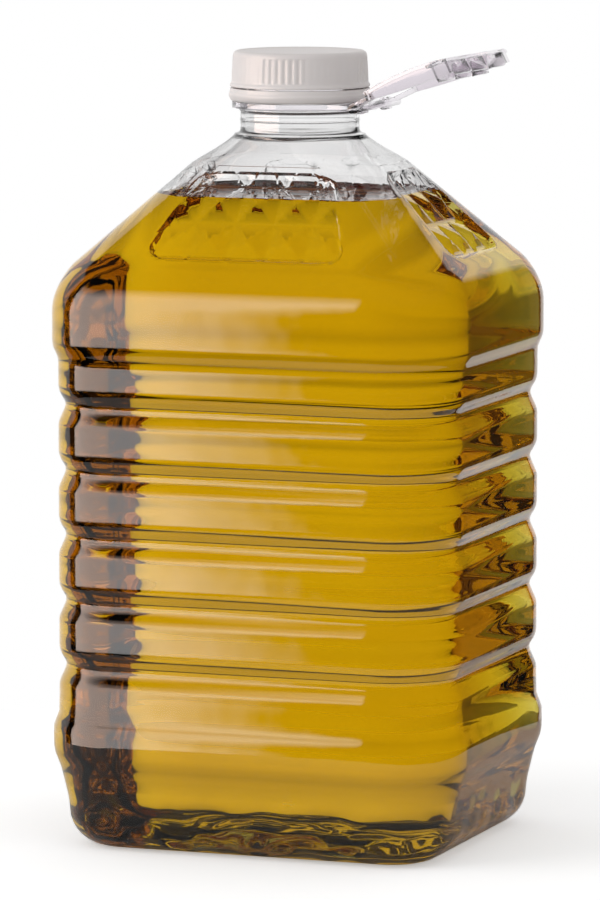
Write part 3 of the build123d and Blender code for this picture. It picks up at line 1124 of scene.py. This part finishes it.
        # A straight slope below the groove's floor and a curve above it.
        half = add(MATH, floor, 0.5, operation="MULTIPLY")
        low = add(MATH, half, -1.0, operation="MULTIPLY")
        foot = add(MATH, low, slope, operation="SUBTRACT")
        head = add(MATH, half, curve, operation="ADD")
        rise = add(RAMP, above, foot, low)
        fall = add(MATH, add(RAMP, above, half, head, 1.0, 0.0), 2.0, operation="POWER")
        share = add(MATH, rise, fall, operation="MULTIPLY")
        blur = {"Value": share, "Iterations": self.groove_blur[0], "Weight": self.groove_blur[1]}
        soft = add("GeometryNodeBlurAttribute", blur)
        depth = add(MATH, soft, depth, operation="MULTIPLY")
        named = {"Name": "outward"}
        way = add("GeometryNodeInputNamedAttribute", named, data_type="FLOAT_VECTOR")
        rule.finish(rule.press(depth, way), worn)
        return rule

    def grooved(
        self, name: str, rows: np.ndarray, marks: np.ndarray, material: Material
    ) -> Object:
        """Skins sections into a closed body and presses its grooves.

        Args:
            name: The piece's name.
            rows: Its sections, from one closed end to the other.
            marks: A number for each section that its points keep, to tell its surfaces apart.
            material: The finish that it starts with.

        Returns:
            The piece.
        """
        points, ways = self.points(rows)
        mesh = grid_mesh(name, points, (True, True))
        spare = np.zeros((2, 3))
        ways = np.vstack([ways.reshape(-1, 3), spare]).astype(np.float32)
        outward = mesh.attributes.new("outward", "FLOAT_VECTOR", "POINT")
        outward.data.foreach_set("vector", ways.ravel())
        columns = points.shape[1]
        sides = np.concatenate([np.repeat(marks, columns), marks[[0, -1]]]).astype(np.float32)
        mesh.attributes.new("side", "FLOAT", "POINT").data.foreach_set("value", sides)
        made = new_object(name, mesh)
        self.groove_rule(material).apply(made)
        return made


@dataclass(frozen=True)
class GripPanel:
    """One recessed panel on the shoulder with its bed of pyramids.

    The pitch is that of the pyramids across the panel and the row is that up the slope. The
    margins and the depths bound the stretch of wall round the panel that is worked on.
    """

    half: float
    angle: float
    low_half: float
    high_half: float
    pitch: float
    low: float = 229.0
    high: float = 259.0
    recess: float = 2.4
    relief: float = 2.3
    row: float = 17.6
    corner: float = 5.0
    facet_share: float = 0.4
    wall_run: float = 0.9
    margins: tuple[float, float] = (6.0, 5.0)
    depths: tuple[float, float] = (-7.0, 4.0)
    crisp_angle: float = 9.0

    def axes(self, form: BodyForm, skin: float) -> tuple[np.ndarray, np.ndarray, float]:
        """Finds where the panel lies.

        Args:
            form: The body that carries it.
            skin: How far inside the outside it is sunk.

        Returns:
            Its middle, its three directions as rows (across, up the slope and out), and its
            length up the slope, in millimetres.
        """
        run = (self.half + form.bulge - form.neck_radius) * (form.flat_share - form.bend_share)
        rise = form.flat_high - form.bend_high
        length = math.hypot(run, rise)
        middle = (self.low + self.high) / 2
        share = form.share(np.array([middle]))[0]
        out = (self.half + form.bulge) * (1 - share) + form.neck_radius * share
        run, rise = run / length, rise / length
        turn = np.array(Matrix.Rotation(math.radians(self.angle), 3, "Z"))
        axes = np.array([(1, 0, 0), (0, run, rise), (0, -rise, run)]) @ turn.T
        centre = turn @ np.array((0, -out, middle)) - skin * axes[2]
        return centre, axes, (self.high - self.low) / rise

    def outline(self, length: float, skin: float) -> list[tuple[np.ndarray, np.ndarray]]:
        """Lists the sides of the panel and of its cut corners.

        Args:
            length: The panel's length up the slope.
            skin: How far the outline is widened on this surface.

        Returns:
            A point and the way in of each side.
        """
        half, low, high = length / 2, self.low_half, self.high_half
        corners = np.array([(-low, -half), (low, -half), (high, half), (-high, half)])
        sides = []
        for index, corner in enumerate(corners):
            before, after = corners[index - 1], corners[(index + 1) % 4]
            back = (corner - before) / np.linalg.norm(corner - before)
            ahead = (after - corner) / np.linalg.norm(after - corner)
            pair = [np.array((-way[1], way[0])) for way in (back, ahead)]
            inward = pair[1]
            sides.append((corner - inward * skin, inward))
            bisector = pair[0] + inward
            bisector /= np.linalg.norm(bisector)
            sine = abs(float(np.dot(bisector, inward)))
            centre = corner + bisector * self.corner / sine
            for side in pair:
                way = bisector * (1 - self.facet_share) + side * self.facet_share
                way /= np.linalg.norm(way)
                sides.append((centre - way * (self.corner + skin), way))
        return sides

    def cuts(self, length: float, skin: float) -> list[tuple[np.ndarray, np.ndarray]]:
        """Lists lines along which the surface is cut, so that every edge of the bed is crisp.

        Args:
            length: The panel's length up the slope.
            skin: How far the outline is widened on this surface.

        Returns:
            A point and a direction across each line.
        """
        across, along = np.array((1.0, 0.0)), np.array((0.0, 1.0))
        lines = []
        for point, way in self.outline(length, skin):
            lines.append((point, way))
            lines.append((point + way * self.wall_run, way))
        span = int(2 * self.low_half / self.pitch)
        for index in range(-span, span + 1):
            lines.append((across * index * self.pitch / 2, across))
        rows = int(length / self.row) + 1
        for index in range(1, 2 * rows + 1):
            lines.append((along * (index * self.row / 2 - length / 2), along))
        for index in range(-span, span + 1):
            peak = np.array((index * self.pitch, self.row / 2 - length / 2))
            for sign in (-1, 1):
                lines.append((peak, np.array((sign / self.pitch, 1 / self.row))))
        return lines

    def sunk(self, place: np.ndarray, length: float, skin: float) -> np.ndarray:
        """Finds how high the bed lies.

        Args:
            place: Places on the panel, across and up the slope.
            length: The panel's length up the slope.
            skin: How far the outline is widened on this surface.

        Returns:
            The bed's height at each place, below the panel's plane.
        """
        across, along = place[:, 0], place[:, 1] + length / 2
        hill_x = 1 - 2 * np.abs(across / self.pitch - np.round(across / self.pitch))
        steps = along / self.row - 0.5
        hill_y = 1 - 2 * np.abs(steps - np.round(steps))
        bed = -self.recess + self.relief * np.minimum(hill_x, hill_y)
        depth = self.depth(place, length, skin)
        return np.maximum(bed, -self.recess * np.clip(depth / self.wall_run, 0, 1))

    def depth(self, place: np.ndarray, length: float, skin: float) -> np.ndarray:
        """Finds how far inside the panel's outline places lie, with outer ones negative."""
        return np.min([(place - point) @ way for point, way in self.outline(length, skin)], axis=0)

    def carve(self, bm: BMesh, form: BodyForm, surface: Surface, side: int) -> None:
        """Presses the panel into one surface of a mesh.

        Args:
            bm: The mesh, in metres.
            form: The body that carries the panel.
            surface: Which surface it is.
            side: The number that this surface's points carry.
        """
        skin = surface.value
        centre, axes, length = self.axes(form, skin)
        mark = bm.verts.layers.float["side"]
        bm.verts.ensure_lookup_table()
        places = (np.array([v.co for v in bm.verts]) / MM - centre) @ axes.T
        sides = np.array([v[mark] for v in bm.verts])
        inside = np.abs(places[:, 0]) < self.low_half + self.margins[0]
        inside &= np.abs(places[:, 1]) < length / 2 + self.margins[1]
        inside &= (places[:, 2] > self.depths[0]) & (places[:, 2] < self.depths[1])
        inside &= np.abs(sides - side) < 0.5
        chosen = {bm.verts[i] for i in np.nonzero(inside)[0]}
        faces = [f for f in bm.faces if all(v in chosen for v in f.verts)]
        edges = {e for f in faces for e in f.edges}
        zone = [*{v for f in faces for v in f.verts}, *edges, *faces]
        for point, way in self.cuts(length, skin):
            spot = Vector((centre + axes[0] * point[0] + axes[1] * point[1]) * MM)
            normal = Vector(axes[0] * way[0] + axes[1] * way[1]).normalized()
            cut = bmesh.ops.bisect_plane(bm, geom=zone, dist=WELD, plane_co=spot, plane_no=normal)
            zone = cut["geom"]
        verts = [g for g in zone if isinstance(g, BMVert)]
        places = (np.array([v.co for v in verts]) / MM - centre) @ axes.T
        depth = self.depth(places[:, :2], length, skin)
        bed = self.sunk(places[:, :2], length, skin)
        places[:, 2] = np.where(depth > 0, np.minimum(places[:, 2], bed), places[:, 2])
        for vert, place in zip(verts, (places @ axes + centre) * MM):
            vert.co = place
        ridged([g for g in zone if isinstance(g, BMEdge)], self.crisp_angle)


@dataclass(frozen=True)
class ScrewThread:
    """A screw thread, wound by Geometry Nodes along a spiral."""

    radius: float
    low: float
    half_depth: float
    half_width: float
    pitch: float = 4.2
    turns: float = 1.6
    turn_points: int = 96
    section_points: int = 8

    def wind(self, name: str, material: Material) -> Object:
        """Builds the thread.

        Args:
            name: The piece's name.
            material: Its finish.

        Returns:
            The piece.
        """
        made = new_object(name, bpy.data.meshes.new(name))
        rule = Rule(
            name,
            {
                "Radius": self.radius * MM,
                "Turns": self.turns,
                "Rise": self.pitch * self.turns * MM,
                "Start Height": self.low * MM,
                "Thickness": 2 * self.half_depth * MM,
                "Width": 2 * self.half_width * MM,
                "Finish": material,
            },
        )
        add = rule.add
        around, count, rise, start, thick, tall, worn = rule.inputs
        sizes = {"Resolution": self.turn_points, "Rotations": count, "Height": rise}
        sizes |= {"Start Radius": around, "End Radius": around}
        spiral = add("GeometryNodeCurveSpiral", sizes)
        lift = add("ShaderNodeCombineXYZ", {2: start})
        spiral = add("GeometryNodeTransform", {"Geometry": spiral, "Translation": lift})
        sizes = {"Resolution": self.section_points, "Radius": 1.0}
        section = add("GeometryNodeCurvePrimitiveCircle", sizes)
        halves = (add(MATH, size, 0.5, operation="MULTIPLY") for size in (thick, tall))
        scale = add("ShaderNodeCombineXYZ", *halves, 1.0)
        section = add("GeometryNodeTransform", {"Geometry": section, "Scale": scale})
        curves = {"Curve": spiral, "Profile Curve": section, "Fill Caps": True}
        rule.finish(add("GeometryNodeCurveToMesh", curves), worn)
        rule.apply(made)
        made.data.shade_smooth()
        return made


@dataclass
class OilBottle:
    """The blown bottle and the oil in it.

    A grip panel's sizes are its half widths low and high on the shoulder and the pitch of its
    pyramids. The rim's steps are how far in and how far down each ring of the oil's edge lies.
    """

    form: BodyForm = BodyForm()
    front_panel: tuple[float, float, float] = (40.0, 28.0, 15.6)
    side_panel: tuple[float, float, float] = (28.5, 17.0, 13.8)
    carved_margins: tuple[float, float] = (4.0, 8.0)
    neck_wall: float = 1.6
    neck_top: float = 301.6
    oil_level: float = 249.4
    meniscus: float = 1.1
    rim_steps: tuple[tuple[float, float], ...] = ((0.7, 0.7), (1.6, 0.3), (2.5, 0.1))
    thread_low: float = 291.6
    thread_lift: float = 0.25
    thread_half_depth: float = 0.55
    thread_half_width: float = 0.9

    def panels(self) -> list[GripPanel]:
        """Lists the four grip panels.

        Returns:
            The panels, two of each size.
        """
        made = []
        for angle in (0, 180):
            made.append(GripPanel(self.form.half_y, angle, *self.front_panel))
            made.append(GripPanel(self.form.half_x, angle + 90, *self.side_panel))
        return made

    def neck_rows(self) -> tuple[np.ndarray, np.ndarray]:
        """Lists sections of the neck's outside, upwards, and of its bore, downwards.

        Returns:
            Half width, half depth, corner radius and height of each, for both.
        """
        radius, top = self.form.neck_radius, self.neck_top
        bore = radius - self.neck_wall
        # From the foot up: the step onto the shoulder, a faint line, two beads and the mouth.
        outside = [
            (25.2, 271.9), (25.3, 272.6), (23.3, 273.3), (radius, 274.4), (radius, 277.7),
            (radius + 0.25, 278.0), (radius, 278.3), (radius, 281.1), (radius + 0.6, 281.8),
            (radius + 0.6, 282.55), (radius, 282.6), (radius, 287.2), (radius + 1.1, 287.2),
            (radius, 288.5), (radius, top - 0.5), (radius - 0.5, top), (bore + 0.4, top),
            (bore, top - 0.5),
        ]
        inside = [
            (bore, top - 0.5), (bore, 285.0), (bore, 275.0), (bore + 0.4, 273.4), (24.4, 272.0),
        ]
        # The corner's radius is a hair under the half width, so that no side is quite gone.
        roundness = 0.9999
        rows = []
        for profile in (softened(outside, 0.35, 2)[1:], softened(inside, 1.2)[1:-1]):
            radii = profile[:, 0]
            rows.append(np.column_stack([radii, radii, radii * roundness, profile[:, 1]]))
        return rows[0], rows[1]

    def shell(self, dry: Material, wet: Material) -> Object:
        """Builds the bottle as one closed thin shell.

        Args:
            dry: Its clear plastic.
            wet: The same plastic where oil touches it.

        Returns:
            The piece.
        """
        form = self.form
        neck_out, neck_in = self.neck_rows()
        outside = [form.base_rows(0, 0), form.wall_rows(0), form.shoulder_rows(0), neck_out]
        skin = Surface.INSIDE.value
        inside = [
            neck_in,
            form.shoulder_rows(skin)[::-1],
            form.wall_rows(skin)[::-1],
            form.base_rows(skin, form.base_wall)[::-1],
        ]
        outer, inner = np.vstack(outside), np.vstack(inside)
        marks = np.concatenate([np.zeros(len(outer)), np.ones(len(inner))])
        made = form.grooved("bottle_shell", np.vstack([outer, inner]), marks, dry)
        with editing(made.data) as bm:
            self.carve_shoulder(bm, ((Surface.OUTSIDE, 0), (Surface.INSIDE, 1)))
            self.wet_line(bm)
        made.data.materials.append(wet)
        start = form.neck_radius + self.thread_lift
        halves = (self.thread_half_depth, self.thread_half_width)
        thread = ScrewThread(start, self.thread_low, *halves)
        join(made, thread.wind("neck_thread", dry))
        return made

    def carve_shoulder(self, bm: BMesh, surfaces: tuple[tuple[Surface, int], ...]) -> None:
        """Presses the four panels into a mesh, working on its shoulder alone for speed.

        Args:
            bm: The mesh, in metres.
            surfaces: Its surfaces, each with the number that its points carry.
        """
        low = (self.form.shoulder_start + self.carved_margins[0]) * MM
        high = (self.form.flat_high + self.carved_margins[1]) * MM
        within = [low < f.calc_center_median().z < high for f in bm.faces]
        band = bm.copy()
        for mesh, dropped in ((band, False), (bm, True)):
            gone = [f for f, kept in zip(mesh.faces, within) if kept is dropped]
            bmesh.ops.delete(mesh, geom=gone, context="FACES")
        for panel in self.panels():
            for surface, side in surfaces:
                panel.carve(band, self.form, surface, side)
        carved = bpy.data.meshes.new("shoulder")
        band.to_mesh(carved)
        band.free()
        bm.from_mesh(carved)
        bpy.data.meshes.remove(carved)
        seam = [v for v in bm.verts if v.is_boundary]
        bmesh.ops.remove_doubles(bm, verts=seam, dist=WELD)

    def wet_line(self, bm: BMesh) -> None:
        """Gives the shell's inner faces below the oil's edge the second finish.

        Args:
            bm: The shell, in metres.
        """
        mark = bm.verts.layers.float["side"]
        level = (self.oil_level + self.meniscus) * MM
        inner = [f for f in bm.faces if all(v[mark] > 0.5 for v in f.verts)]
        zone = [*{v for f in inner for v in f.verts}, *{e for f in inner for e in f.edges}, *inner]
        bmesh.ops.bisect_plane(bm, geom=zone, dist=WELD, plane_co=(0, 0, level), plane_no=(0, 0, 1))
        for face in bm.faces:
            if all(v[mark] > 0.5 for v in face.verts) and face.calc_center_median().z < level:
                face.material_index = 1

    def oil(self, top: Material, side: Material) -> Object:
        """Builds the oil up to its level, with the edge that climbs the wall.

        Args:
            top: The finish of its open surface.
            side: The finish where it touches the bottle.

        Returns:
            The piece.
        """
        form = self.form
        skin = Surface.OIL.value
        gap = skin - Surface.INSIDE.value
        base = form.base_rows(skin, form.base_wall + gap)
        rows = np.vstack([base, form.wall_rows(skin), form.shoulder_rows(skin)])
        made = form.grooved("olive_oil_body", rows, np.zeros(len(rows)), side)
        with editing(made.data) as bm:
            self.carve_shoulder(bm, ((Surface.OIL, 0),))
            edge = (self.oil_level + self.meniscus) * MM
            bmesh.ops.bisect_plane(
                bm, geom=[*bm.verts, *bm.edges, *bm.faces], dist=WELD,
                plane_co=(0, 0, edge), plane_no=(0, 0, 1), clear_outer=True,
            )
            rim = [e for e in bm.edges if len(e.link_faces) == 1]
            for pull, drop in self.rim_steps:
                rim = self.inner_step(bm, rim, pull, drop)
            low = min(v.co.z for e in rim for v in e.verts)
            for vert in {v for e in rim for v in e.verts}:
                vert.co.z = low
            self.turn_up(bmesh.ops.triangle_fill(bm, edges=rim, use_beauty=True)["geom"])
        made.data.materials.append(top)
        return made

    def inner_step(self, bm: BMesh, rim: list[BMEdge], pull: float, drop: float) -> list[BMEdge]:
        """Grows one narrow ring of the oil's surface inwards from its edge.

        Args:
            bm: The oil's mesh.
            rim: Its open edges.
            pull: How far in the new edges lie.
            drop: How far down they lie.

        Returns:
            The new open edges.
        """
        grown = bmesh.ops.extrude_edge_only(bm, edges=rim)["geom"]
        for vert in (g for g in grown if isinstance(g, BMVert)):
            out = Vector((vert.co.x, vert.co.y, 0)).normalized()
            vert.co -= out * pull * MM
            vert.co.z -= drop * MM
        self.turn_up(grown)
        return [g for g in grown if isinstance(g, BMEdge) and len(g.link_faces) == 1]

    def turn_up(self, made: list) -> None:
        """Makes new faces part of the oil's open surface.

        Args:
            made: What was added to the mesh, faces and other parts.
        """
        for face in made:
            if isinstance(face, BMFace):
                face.material_index = 1
                face.smooth = True
                if face.normal.z < 0:
                    face.normal_flip()

    def build(self) -> None:
        """Builds and places the bottle and the oil."""
        shell = self.shell(CLEAR_POLYESTER.material(), WET_POLYESTER.material())
        oil = self.oil(OIL_TOP.material(), OIL_SIDE.material())
        settle(shell, "bottle", "bottle")
        settle(oil, "bottle", "olive_oil")


# Closure


@dataclass
class Closure:
    """Screw cap, its liner and the tamper band.

    A rib's shares are the stretch of its wave over which it rises, and a group's are those
    over which the ribs go from faint to deep.
    """

    top: float = 304.5
    bottom: float = 290.7
    bore: float = 24.5
    roof: float = 1.7
    columns: int = 480
    skirt_step: float = 1.1
    skirt_radius: float = 25.5
    rib_count: int = 60
    rib_depth: float = 0.42
    rib_groups: int = 4
    group_turn: float = 4.0
    rib_foot: float = 1.9
    rib_head: float = 2.0
    rib_runouts: tuple[float, float] = (0.8, 1.2)
    rib_shares: tuple[float, float] = (-0.75, 0.45)
    group_shares: tuple[float, float] = (0.05, 0.35)
    faint_share: float = 0.12
    thread_low: float = 292.4
    thread_half_depth: float = 0.5
    thread_half_width: float = 0.8
    liner_gap: float = 0.1
    liner_thickness: float = 0.9
    liner_columns: int = 160
    band_top: float = 290.25
    band_columns: int = 256
    bridge_count: int = 12
    bridge_circle: float = 25.9
    bridge_size: float = 0.5
    bridge_sides: int = 8

    def cap(self, material: Material) -> Object:
        """Builds the cap with its ribs and its inner thread.

        Args:
            material: Its finish.

        Returns:
            The piece.
        """
        top, low, bore = self.top, self.bottom, self.bore
        ceiling = top - self.roof
        # From the roof's underside down the bore, then up the skirt and over the raised rim.
        corners = [
            (0, ceiling), (bore - 0.8, ceiling), (bore, ceiling - 0.7), (bore, low + 0.5),
            (bore + 0.4, low), (26.7, low), (26.95, low + 0.25), (26.95, low + 1.0),
            (26.35, low + 1.7), (26.3, low + 2.3), (26.2, low + 5.5), (26.0, low + 9.0),
            (25.85, top - 2.4), (25.75, top - 1.5), (25.3, top - 0.5), (24.3, top), (23.2, top),
            (22.4, top - 0.3), (0, top - 0.3),
        ]
        profile = softened(corners, 0.35, 2)
        dense = [profile[0]]
        for before, after in zip(profile, profile[1:]):
            length = np.linalg.norm(after - before)
            on_skirt = before[0] > self.skirt_radius
            steps = max(1, int(length / self.skirt_step)) if on_skirt else 1
            dense += [before + (after - before) * (i + 1) / steps for i in range(steps)]
        mesh = lathe("screw_cap_body", np.array(dense), self.columns, False)
        made = new_object("screw_cap_body", mesh)
        self.rib_rule(material).apply(made)
        halves = (self.thread_half_depth, self.thread_half_width)
        join(made, ScrewThread(bore, self.thread_low, *halves).wind("cap_thread", material))
        return made

    def rib_rule(self, material: Material) -> Rule:
        """Geometry Nodes that raise the cap's ribs, deep in a few groups and faint between.

        Args:
            material: The finish that the tree sets.

        Returns:
            The rule, with the ribs' sizes as its inputs, in metres and radians.
        """
        rule = Rule(
            "cap_ribs",
            {
                "Rib Count": self.rib_count,
                "Rib Depth": self.rib_depth * MM,
                "Groups": self.rib_groups,
                "Group Turn": math.radians(self.group_turn),
                "Rib Foot": (self.bottom + self.rib_foot) * MM,
                "Rib Head": (self.top - self.rib_head) * MM,
                "Skirt Radius": self.skirt_radius * MM,
                "Finish": material,
            },
        )
        add = rule.add
        count, depth, groups, turn, low, high, reach, worn = rule.inputs
        axes = add("ShaderNodeSeparateXYZ", add("GeometryNodeInputPosition")).node.outputs
        around = add(MATH, axes["Y"], axes["X"], operation="ARCTAN2")
        around = add(MATH, around, turn, operation="SUBTRACT")
        wave, gather = (
            add(MATH, add(MATH, around, times, operation="MULTIPLY"), operation="COSINE")
            for times in (count, groups)
        )
        foot_end = add(MATH, low, self.rib_runouts[0] * MM, operation="ADD")
        head_start = add(MATH, high, self.rib_runouts[1] * MM, operation="SUBTRACT")
        flat = add("ShaderNodeCombineXYZ", axes["X"], axes["Y"], 0.0)
        radius = add("ShaderNodeVectorMath", flat, operation="LENGTH", out="Value")
        shares = (
            add(RAMP, wave, *self.rib_shares, 1.0, 0.0),
            add(RAMP, gather, *self.group_shares, self.faint_share, 1.0),
            window(add, axes["Z"], (low, foot_end, head_start, high)),
            add(MATH, radius, reach, operation="GREATER_THAN"),
        )
        for share in shares:
            depth = add(MATH, depth, share, operation="MULTIPLY")
        way = add("ShaderNodeVectorMath", flat, operation="NORMALIZE")
        rule.finish(rule.press(depth, way), worn)
        return rule

    def liner(self, material: Material) -> Object:
        """Builds the foam sealing disc, pressed a little where the rim bites.

        Args:
            material: Its finish.

        Returns:
            The piece.
        """
        high = self.top - self.roof - self.liner_gap
        low = high - self.liner_thickness
        bite = low + 0.1
        corners = [
            (0, low), (20.6, low), (21.2, bite), (23.0, bite), (23.4, low), (24.0, low),
            (24.0, high), (0, high),
        ]
        mesh = lathe("liner_disc", softened(corners, 0.25, 2), self.liner_columns, False)
        made = new_object("liner_disc", mesh)
        made.data.materials.append(material)
        return made

    def band(self, material: Material) -> Object:
        """Builds the tamper band with its inner fold and the stubs of its bridges.

        Args:
            material: Its finish.

        Returns:
            The piece.
        """
        # From the inner fold's foot out, up the flared outside and down the inside.
        loop = [
            (23.35, 285.3), (26.2, 285.25), (26.9, 285.9), (27.35, 287.2), (27.4, 288.0),
            (27.1, 288.6), (27.0, 289.0), (26.85, 290.1), (26.6, self.band_top),
            (24.9, self.band_top), (24.7, 290.0), (24.7, 286.5), (24.5, 286.35), (23.4, 286.3),
            (23.25, 286.0), (23.25, 285.5),
        ]
        closed = softened([loop[-1], *loop, loop[0]], 0.2, 2)[1:-1]
        made = new_object("tamper_ring", lathe("tamper_ring", closed, self.band_columns, True))
        self.bridge_rule(material).apply(made)
        return made

    def bridge_rule(self, material: Material) -> Rule:
        """Geometry Nodes that stand torn bridge stubs round the band's upper edge.

        Args:
            material: The finish that the tree sets.

        Returns:
            The rule, with the stubs' number, circle, height and size as its inputs.
        """
        rule = Rule(
            "band_bridges",
            {
                "Bridge Count": self.bridge_count,
                "Bridge Circle Radius": self.bridge_circle * MM,
                "Bridge Height": self.band_top * MM,
                "Bridge Size": self.bridge_size * MM,
                "Finish": material,
            },
        )
        add = rule.add
        count, radius, height, size, worn = rule.inputs
        ring = add("GeometryNodeMeshCircle", {"Vertices": count, "Radius": radius})
        lift = add("ShaderNodeCombineXYZ", {2: height})
        ring = add("GeometryNodeTransform", {"Geometry": ring, "Translation": lift})
        sizes = {"Vertices": self.bridge_sides, "Radius": size, "Depth": size}
        stub = add("GeometryNodeMeshCylinder", sizes)
        stubs = add("GeometryNodeInstanceOnPoints", {"Points": ring, "Instance": stub})
        both = add("GeometryNodeJoinGeometry", rule.geometry)
        rule.tree.links.new(stubs, both.node.inputs[0])
        rule.finish(both, worn)
        return rule

    def build(self) -> None:
        """Builds and places the closure."""
        settle(self.cap(CAP_WHITE.material()), "cap", "screw_cap")
        settle(self.liner(LINER_FOAM.material()), "liner", "cap_liner")
        settle(self.band(BAND_WHITE.material()), "band", "tamper_band")


# Carry handle and its collar


@dataclass
class CarryHandle:
    """The clear collar round the neck and the fold-up handle hooked into it.

    Angles are in degrees: between faces that are one face in the solid, between faces whose
    edge is rounded, and between faces whose edge stays crisp.
    """

    edge: float = 0.22
    edge_steps: int = 2
    flat_angle: float = 0.5
    rounded_angle: float = 35.0
    crisp_angle: float = 40.0

    def rounded_copy(self, name: str, node: str, material: Material) -> Object:
        """Copies a solid and rounds its edges.

        Args:
            name: The piece's name.
            node: The solid's node.
            material: Its finish.

        Returns:
            The piece.
        """
        mesh = bpy.data.meshes.new(name)
        with editing(mesh) as bm:
            bm.from_mesh(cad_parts[node].data)
            bmesh.ops.remove_doubles(bm, verts=bm.verts, dist=WELD)
            flat = math.radians(self.flat_angle)
            bmesh.ops.dissolve_limit(bm, angle_limit=flat, verts=bm.verts, edges=bm.edges)
        mesh.materials.append(material)
        made = new_object(name, mesh)
        modifier = made.modifiers.new("soft_edges", "BEVEL")
        modifier.width = self.edge * MM
        modifier.segments = self.edge_steps
        modifier.limit_method = "ANGLE"
        modifier.angle_limit = math.radians(self.rounded_angle)
        make_plain(made, modifier)
        made.data.shade_smooth()
        with editing(made.data) as bm:
            ridged(list(bm.edges), self.crisp_angle)
        return made

    def build(self) -> None:
        """Builds and places the collar and the handle."""
        clear = CLEAR_MOULDING.material()
        collar = self.rounded_copy("neck_collar_ring", "neck_collar", clear)
        handle = self.rounded_copy("carry_handle_loop", "carry_handle", clear)
        settle(collar, "collar", "neck_collar")
        settle(handle, "handle", "carry_handle")


def corners(box: tuple[Vector, Vector]) -> list[list[float]]:
    """Turns a box's two corners into plain lists."""
    return [list(corner) for corner in box]


def main() -> None:
    """Builds the studio and every piece in order."""
    logging.basicConfig(level=logging.INFO, format="%(message)s")
    cad_box = corners(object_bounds())
    Studio().build()
    OilBottle().build()
    Closure().build()
    CarryHandle().build()
    bpy.context.scene.view_settings.view_transform = "Standard"
    {"cad": cad_box, "visual": corners(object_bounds())}


if __name__ == "__main__":
    main()
